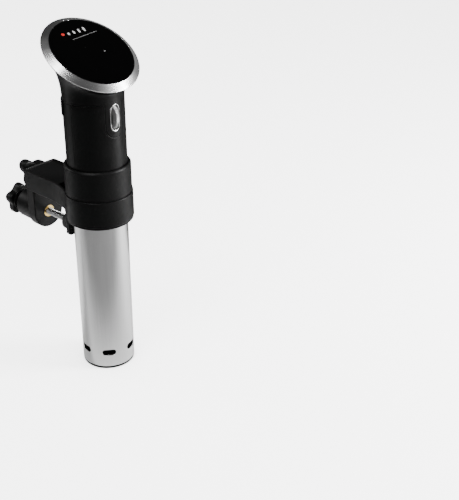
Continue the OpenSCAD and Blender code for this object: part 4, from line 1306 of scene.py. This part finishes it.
def hairpin(heading):
    """A tube of HEATER_R along a path that lies in the plane square to the heading: down one
    leg, round a half circle of BEND_R, and up the other. The section's own axes are the
    heading and the path's normal, so the tube doesn't twist."""
    bend_z = heater_low[2] + HEATER_R + BEND_R
    leg = np.linspace(heater_high[2], bend_z, 16)
    turn = np.linspace(np.pi, TAU, 33)
    side = np.concatenate([-BEND_R + 0 * leg[:-1], BEND_R * np.cos(turn), BEND_R + 0 * leg[:-1]])
    height = np.concatenate([leg[:-1], bend_z + BEND_R * np.sin(turn), leg[:-1][::-1]])
    normal = np.concatenate([np.tile([-1.0, 0.0], (15, 1)), circle(turn),
                             np.tile([1.0, 0.0], (15, 1))])
    around = np.linspace(0, TAU, 28, endpoint=False)
    reach_out, reach_off = HEATER_R * np.cos(around), HEATER_R * np.sin(around)
    tangential = side[:, None] + normal[:, :1] * reach_off
    z = height[:, None] + normal[:, 1:] * reach_off
    radial = HEATER_AT + reach_out + 0 * tangential
    out_x, out_y = np.cos(heading), np.sin(heading)
    points = np.stack([radial * out_x - tangential * out_y, radial * out_y + tangential * out_x, z], -1)
    return tube(points)


hairpins = sum([hairpin(np.radians(turn)) for turn in (30, 150, 270)], [])
piece("heater_element", hairpins, "housing", crease=60)

# %% Impeller
impeller_low, impeller_high = corners("impeller")
IMPELLER_R = 17 * MM
SHAFT_R = 2.5 * MM
BLADES = 6
BLADE_T = 1.5 * MM
BLADE_START, HUB_R = mm(4.2, 5)
SWEEP_BACK = np.radians(38)


def blade(start):
    """A blade's middle line runs out from the hub and falls back by SWEEP_BACK share^1.2."""
    share = np.linspace(0, 1, 15)
    distance = BLADE_START + (IMPELLER_R - HUB_R) * share
    heading = start - SWEEP_BACK * share**1.2
    line = distance[:, None] * circle(heading)
    along = np.gradient(line, axis=0)
    normal = np.stack([-along[:, 1], along[:, 0]], -1)
    off = normal / np.linalg.norm(along, axis=1)[:, None] * BLADE_T / 2
    outline = np.concatenate([line + off, (line - off)[::-1]])
    return slab(outline, impeller_low[2], impeller_high[2] - 1 * MM, 0.25 * MM, 2)


low, high = impeller_low[2], impeller_high[2]
UNDER_PLATE = high - 1.6 * MM
shroud = rounded([(SHAFT_R, high), (IMPELLER_R, high), (IMPELLER_R, UNDER_PLATE), (HUB_R, UNDER_PLATE),
                  (HUB_R, low), (SHAFT_R, low)], mm(0.1, 0.5, 0.5, 1.5, 0.4, 0.1))
blades = sum([blade(count * TAU / BLADES) for count in range(BLADES)], [])
piece("impeller", turned(shroud, 96) + blades, "pump")

# %% [markdown]
# ## Floor and room
# The object stands on a pale floor in a bright room. Black plastic and black glass show only
# what they reflect, so the room is white to look at but dim in reflections. Many lamps could
# light a grey floor to white, but they would show as glare on the black head. A floor and a
# room that glow by themselves leave the lamps free to shape the object.

# %% Floor
# The floor's glow runs from 1.0 in the nook under the object to 4.2 in the open; the dim end is a
# painted shadow.
FLOOR_GLOW_WITH_PAINTED_SHADOW = (1.0, 4.2)
FLOOR_BOUNCE = (0.22, 0.95)
FLOOR_FADE = (1.0, 0.10)
FAR_WAY = (0.755, 0.656, 0.0)
BOUNCE_WHERE = (-0.2, 0.08)
FADE_WHERE = (0.16, 0.30)
PAINTED_SHADOW_REACH = 0.10
FLOOR_HALF = 9.0


def backdrop(name):
    """Pale with a glow of its own where it is looked at. The glow is dimmed in the nook under the
    object, which is a painted contact shadow. What it throws back is strongest close behind the
    object, so upright metal shows a darker middle between light edges, and the black body above keeps
    dark edges."""
    tree, shader, place = material(name)
    uneven = cloud(tree, place, 3.0, 4.0)
    tree.links.new(blended(tree, uneven, grey(0.80), grey(0.84)), shader.inputs["Base Color"])
    shader.inputs["Roughness"].default_value = 0.8
    shader.inputs["Emission Color"].default_value = grey(1.0)
    # Painted shadow: ambient occlusion dims the floor's glow where the object stands close above it.
    unshaded_share = put(tree, "AmbientOcclusion", {"Distance": PAINTED_SHADOW_REACH}, samples=8).outputs["AO"]
    tree.links.new(spread(tree, unshaded_share, 0.0, 1.0, *FLOOR_GLOW_WITH_PAINTED_SHADOW), shader.inputs["Emission Strength"])
    far = put(tree, "VectorMath", {0: place, 1: FAR_WAY}, operation="DOT_PRODUCT").outputs["Value"]
    near_bounce = spread(tree, far, *BOUNCE_WHERE, *FLOOR_BOUNCE)
    bounce = times(tree, near_bounce, spread(tree, far, *FADE_WHERE, *FLOOR_FADE))
    thrown = put(tree, "BsdfDiffuse", {"Color": bounce})
    looked_at = put(tree, "LightPath").outputs["Is Camera Ray"]
    mixed = put(tree, "MixShader", {0: looked_at, 1: thrown.outputs[0], 2: shader.outputs[0]})
    tree.links.new(mixed.outputs[0], tree.nodes["Material Output"].inputs["Surface"])
    return FINISH[name]


floor_mesh = bpy.data.meshes.new("floor")
floor_points = np.array([(-1, -1, 0), (1, -1, 0), (1, 1, 0), (-1, 1, 0)]) * FLOOR_HALF
floor_mesh.from_pydata(floor_points.tolist(), [], [(0, 1, 2, 3)])
floor = shown("floor", floor_mesh)
floor_mesh.materials.append(backdrop("pale_floor"))
print("floor:", 2 * FLOOR_HALF, "m square")

# %% Room
ROOM_LIGHT = (0.0, 0.55, 0.22, 0.04)
ROOM_SEEN = 4.6
world = bpy.data.worlds.new("room")
bpy.context.scene.world = world
world.use_nodes = True
tree = world.node_tree
tree.nodes.clear()
looked_at = put(tree, "LightPath").outputs["Is Camera Ray"]
upward = put(tree, "SeparateXYZ", {0: put(tree, "TexCoord").outputs["Generated"]}).outputs["Z"]
ambient = spread(tree, upward, *ROOM_LIGHT)
lit = put(tree, "Background", {"Color": grey(1.0), "Strength": ambient})
seen = put(tree, "Background", {"Color": grey(1.0), "Strength": ROOM_SEEN})
mixed = put(tree, "MixShader", {0: looked_at, 1: lit.outputs[0], 2: seen.outputs[0]})
sky = tree.nodes.new("ShaderNodeOutputWorld")
tree.links.new(mixed.outputs[0], sky.inputs["Surface"])
print("room:", world.name)

# %% [markdown]
# ## Lamps and camera
# A photographer lights a shiny tube with large soft boxes, because their reflections are what
# shows on metal and black plastic. Point lamps would leave hard dots. The front box makes the
# bright right edge and the rim's highlight, the overhead one opens the head's top, and weak
# boxes at the left and behind keep the dark edges off the background.

# %% Lamps
OBJECT_MIDDLE = np.array([0.0, 0.02, 0.25])


def lamp(name, direction, distance, size, watts):
    """A square soft lamp that faces the object's middle."""
    data = bpy.data.lights.new(name, "AREA")
    data.size = size
    data.energy = watts
    made = shown(name, data)
    back = unit(np.array(direction, float))
    side = unit(np.cross([0, 0, 1], back))
    rows = np.stack([side, np.cross(back, side), back], 1)
    pose = np.eye(4)
    pose[:3, :3], pose[:3, 3] = rows, OBJECT_MIDDLE + back * distance
    made.matrix_world = Matrix(pose.tolist())
    return made


lamp("front_softbox", (0.64, -0.72, 0.24), 1.5, 0.5, 72)
lamp("left_softbox", (-0.97, -0.22, 0.30), 1.6, 0.5, 4)
lamp("overhead", (-0.45, -0.10, 0.88), 1.9, 0.7, 30)
lamp("back_softbox", (-0.3, 0.93, 0.40), 1.9, 0.7, 8)
print("lamps:", [light.name for light in bpy.data.lights])

# %% Camera
CAMERA_AT = (-0.5741, -0.6790, 0.6028)
CAMERA_TURN, CAMERA_DOWN, CAMERA_ROLL = np.radians([49.0, 27.99, -0.5623])
LENS_IN_SENSORS = 1.85826
SENSOR = 36.0


def camera_pose():
    """Columns are the camera's right, up and back directions, after its small roll."""
    level = np.cos(CAMERA_DOWN)
    ahead = np.array([level * np.sin(CAMERA_TURN), level * np.cos(CAMERA_TURN), -np.sin(CAMERA_DOWN)])
    right = np.array([np.cos(CAMERA_TURN), -np.sin(CAMERA_TURN), 0])
    up = np.cross(right, ahead)
    rolled_right = np.cos(CAMERA_ROLL) * right - np.sin(CAMERA_ROLL) * up
    rolled_up = np.sin(CAMERA_ROLL) * right + np.cos(CAMERA_ROLL) * up
    pose = np.eye(4)
    pose[:3, :3] = np.stack([rolled_right, rolled_up, -ahead], 1)
    pose[:3, 3] = CAMERA_AT
    return Matrix(pose.tolist())


camera_data = bpy.data.cameras.new("camera")
camera_data.sensor_width = SENSOR
camera_data.lens = SENSOR * LENS_IN_SENSORS
camera = shown("camera", camera_data)
camera.matrix_world = camera_pose()
bpy.context.scene.camera = camera
print("camera at", CAMERA_AT, "with a lens of", round(camera_data.lens, 1), "mm")
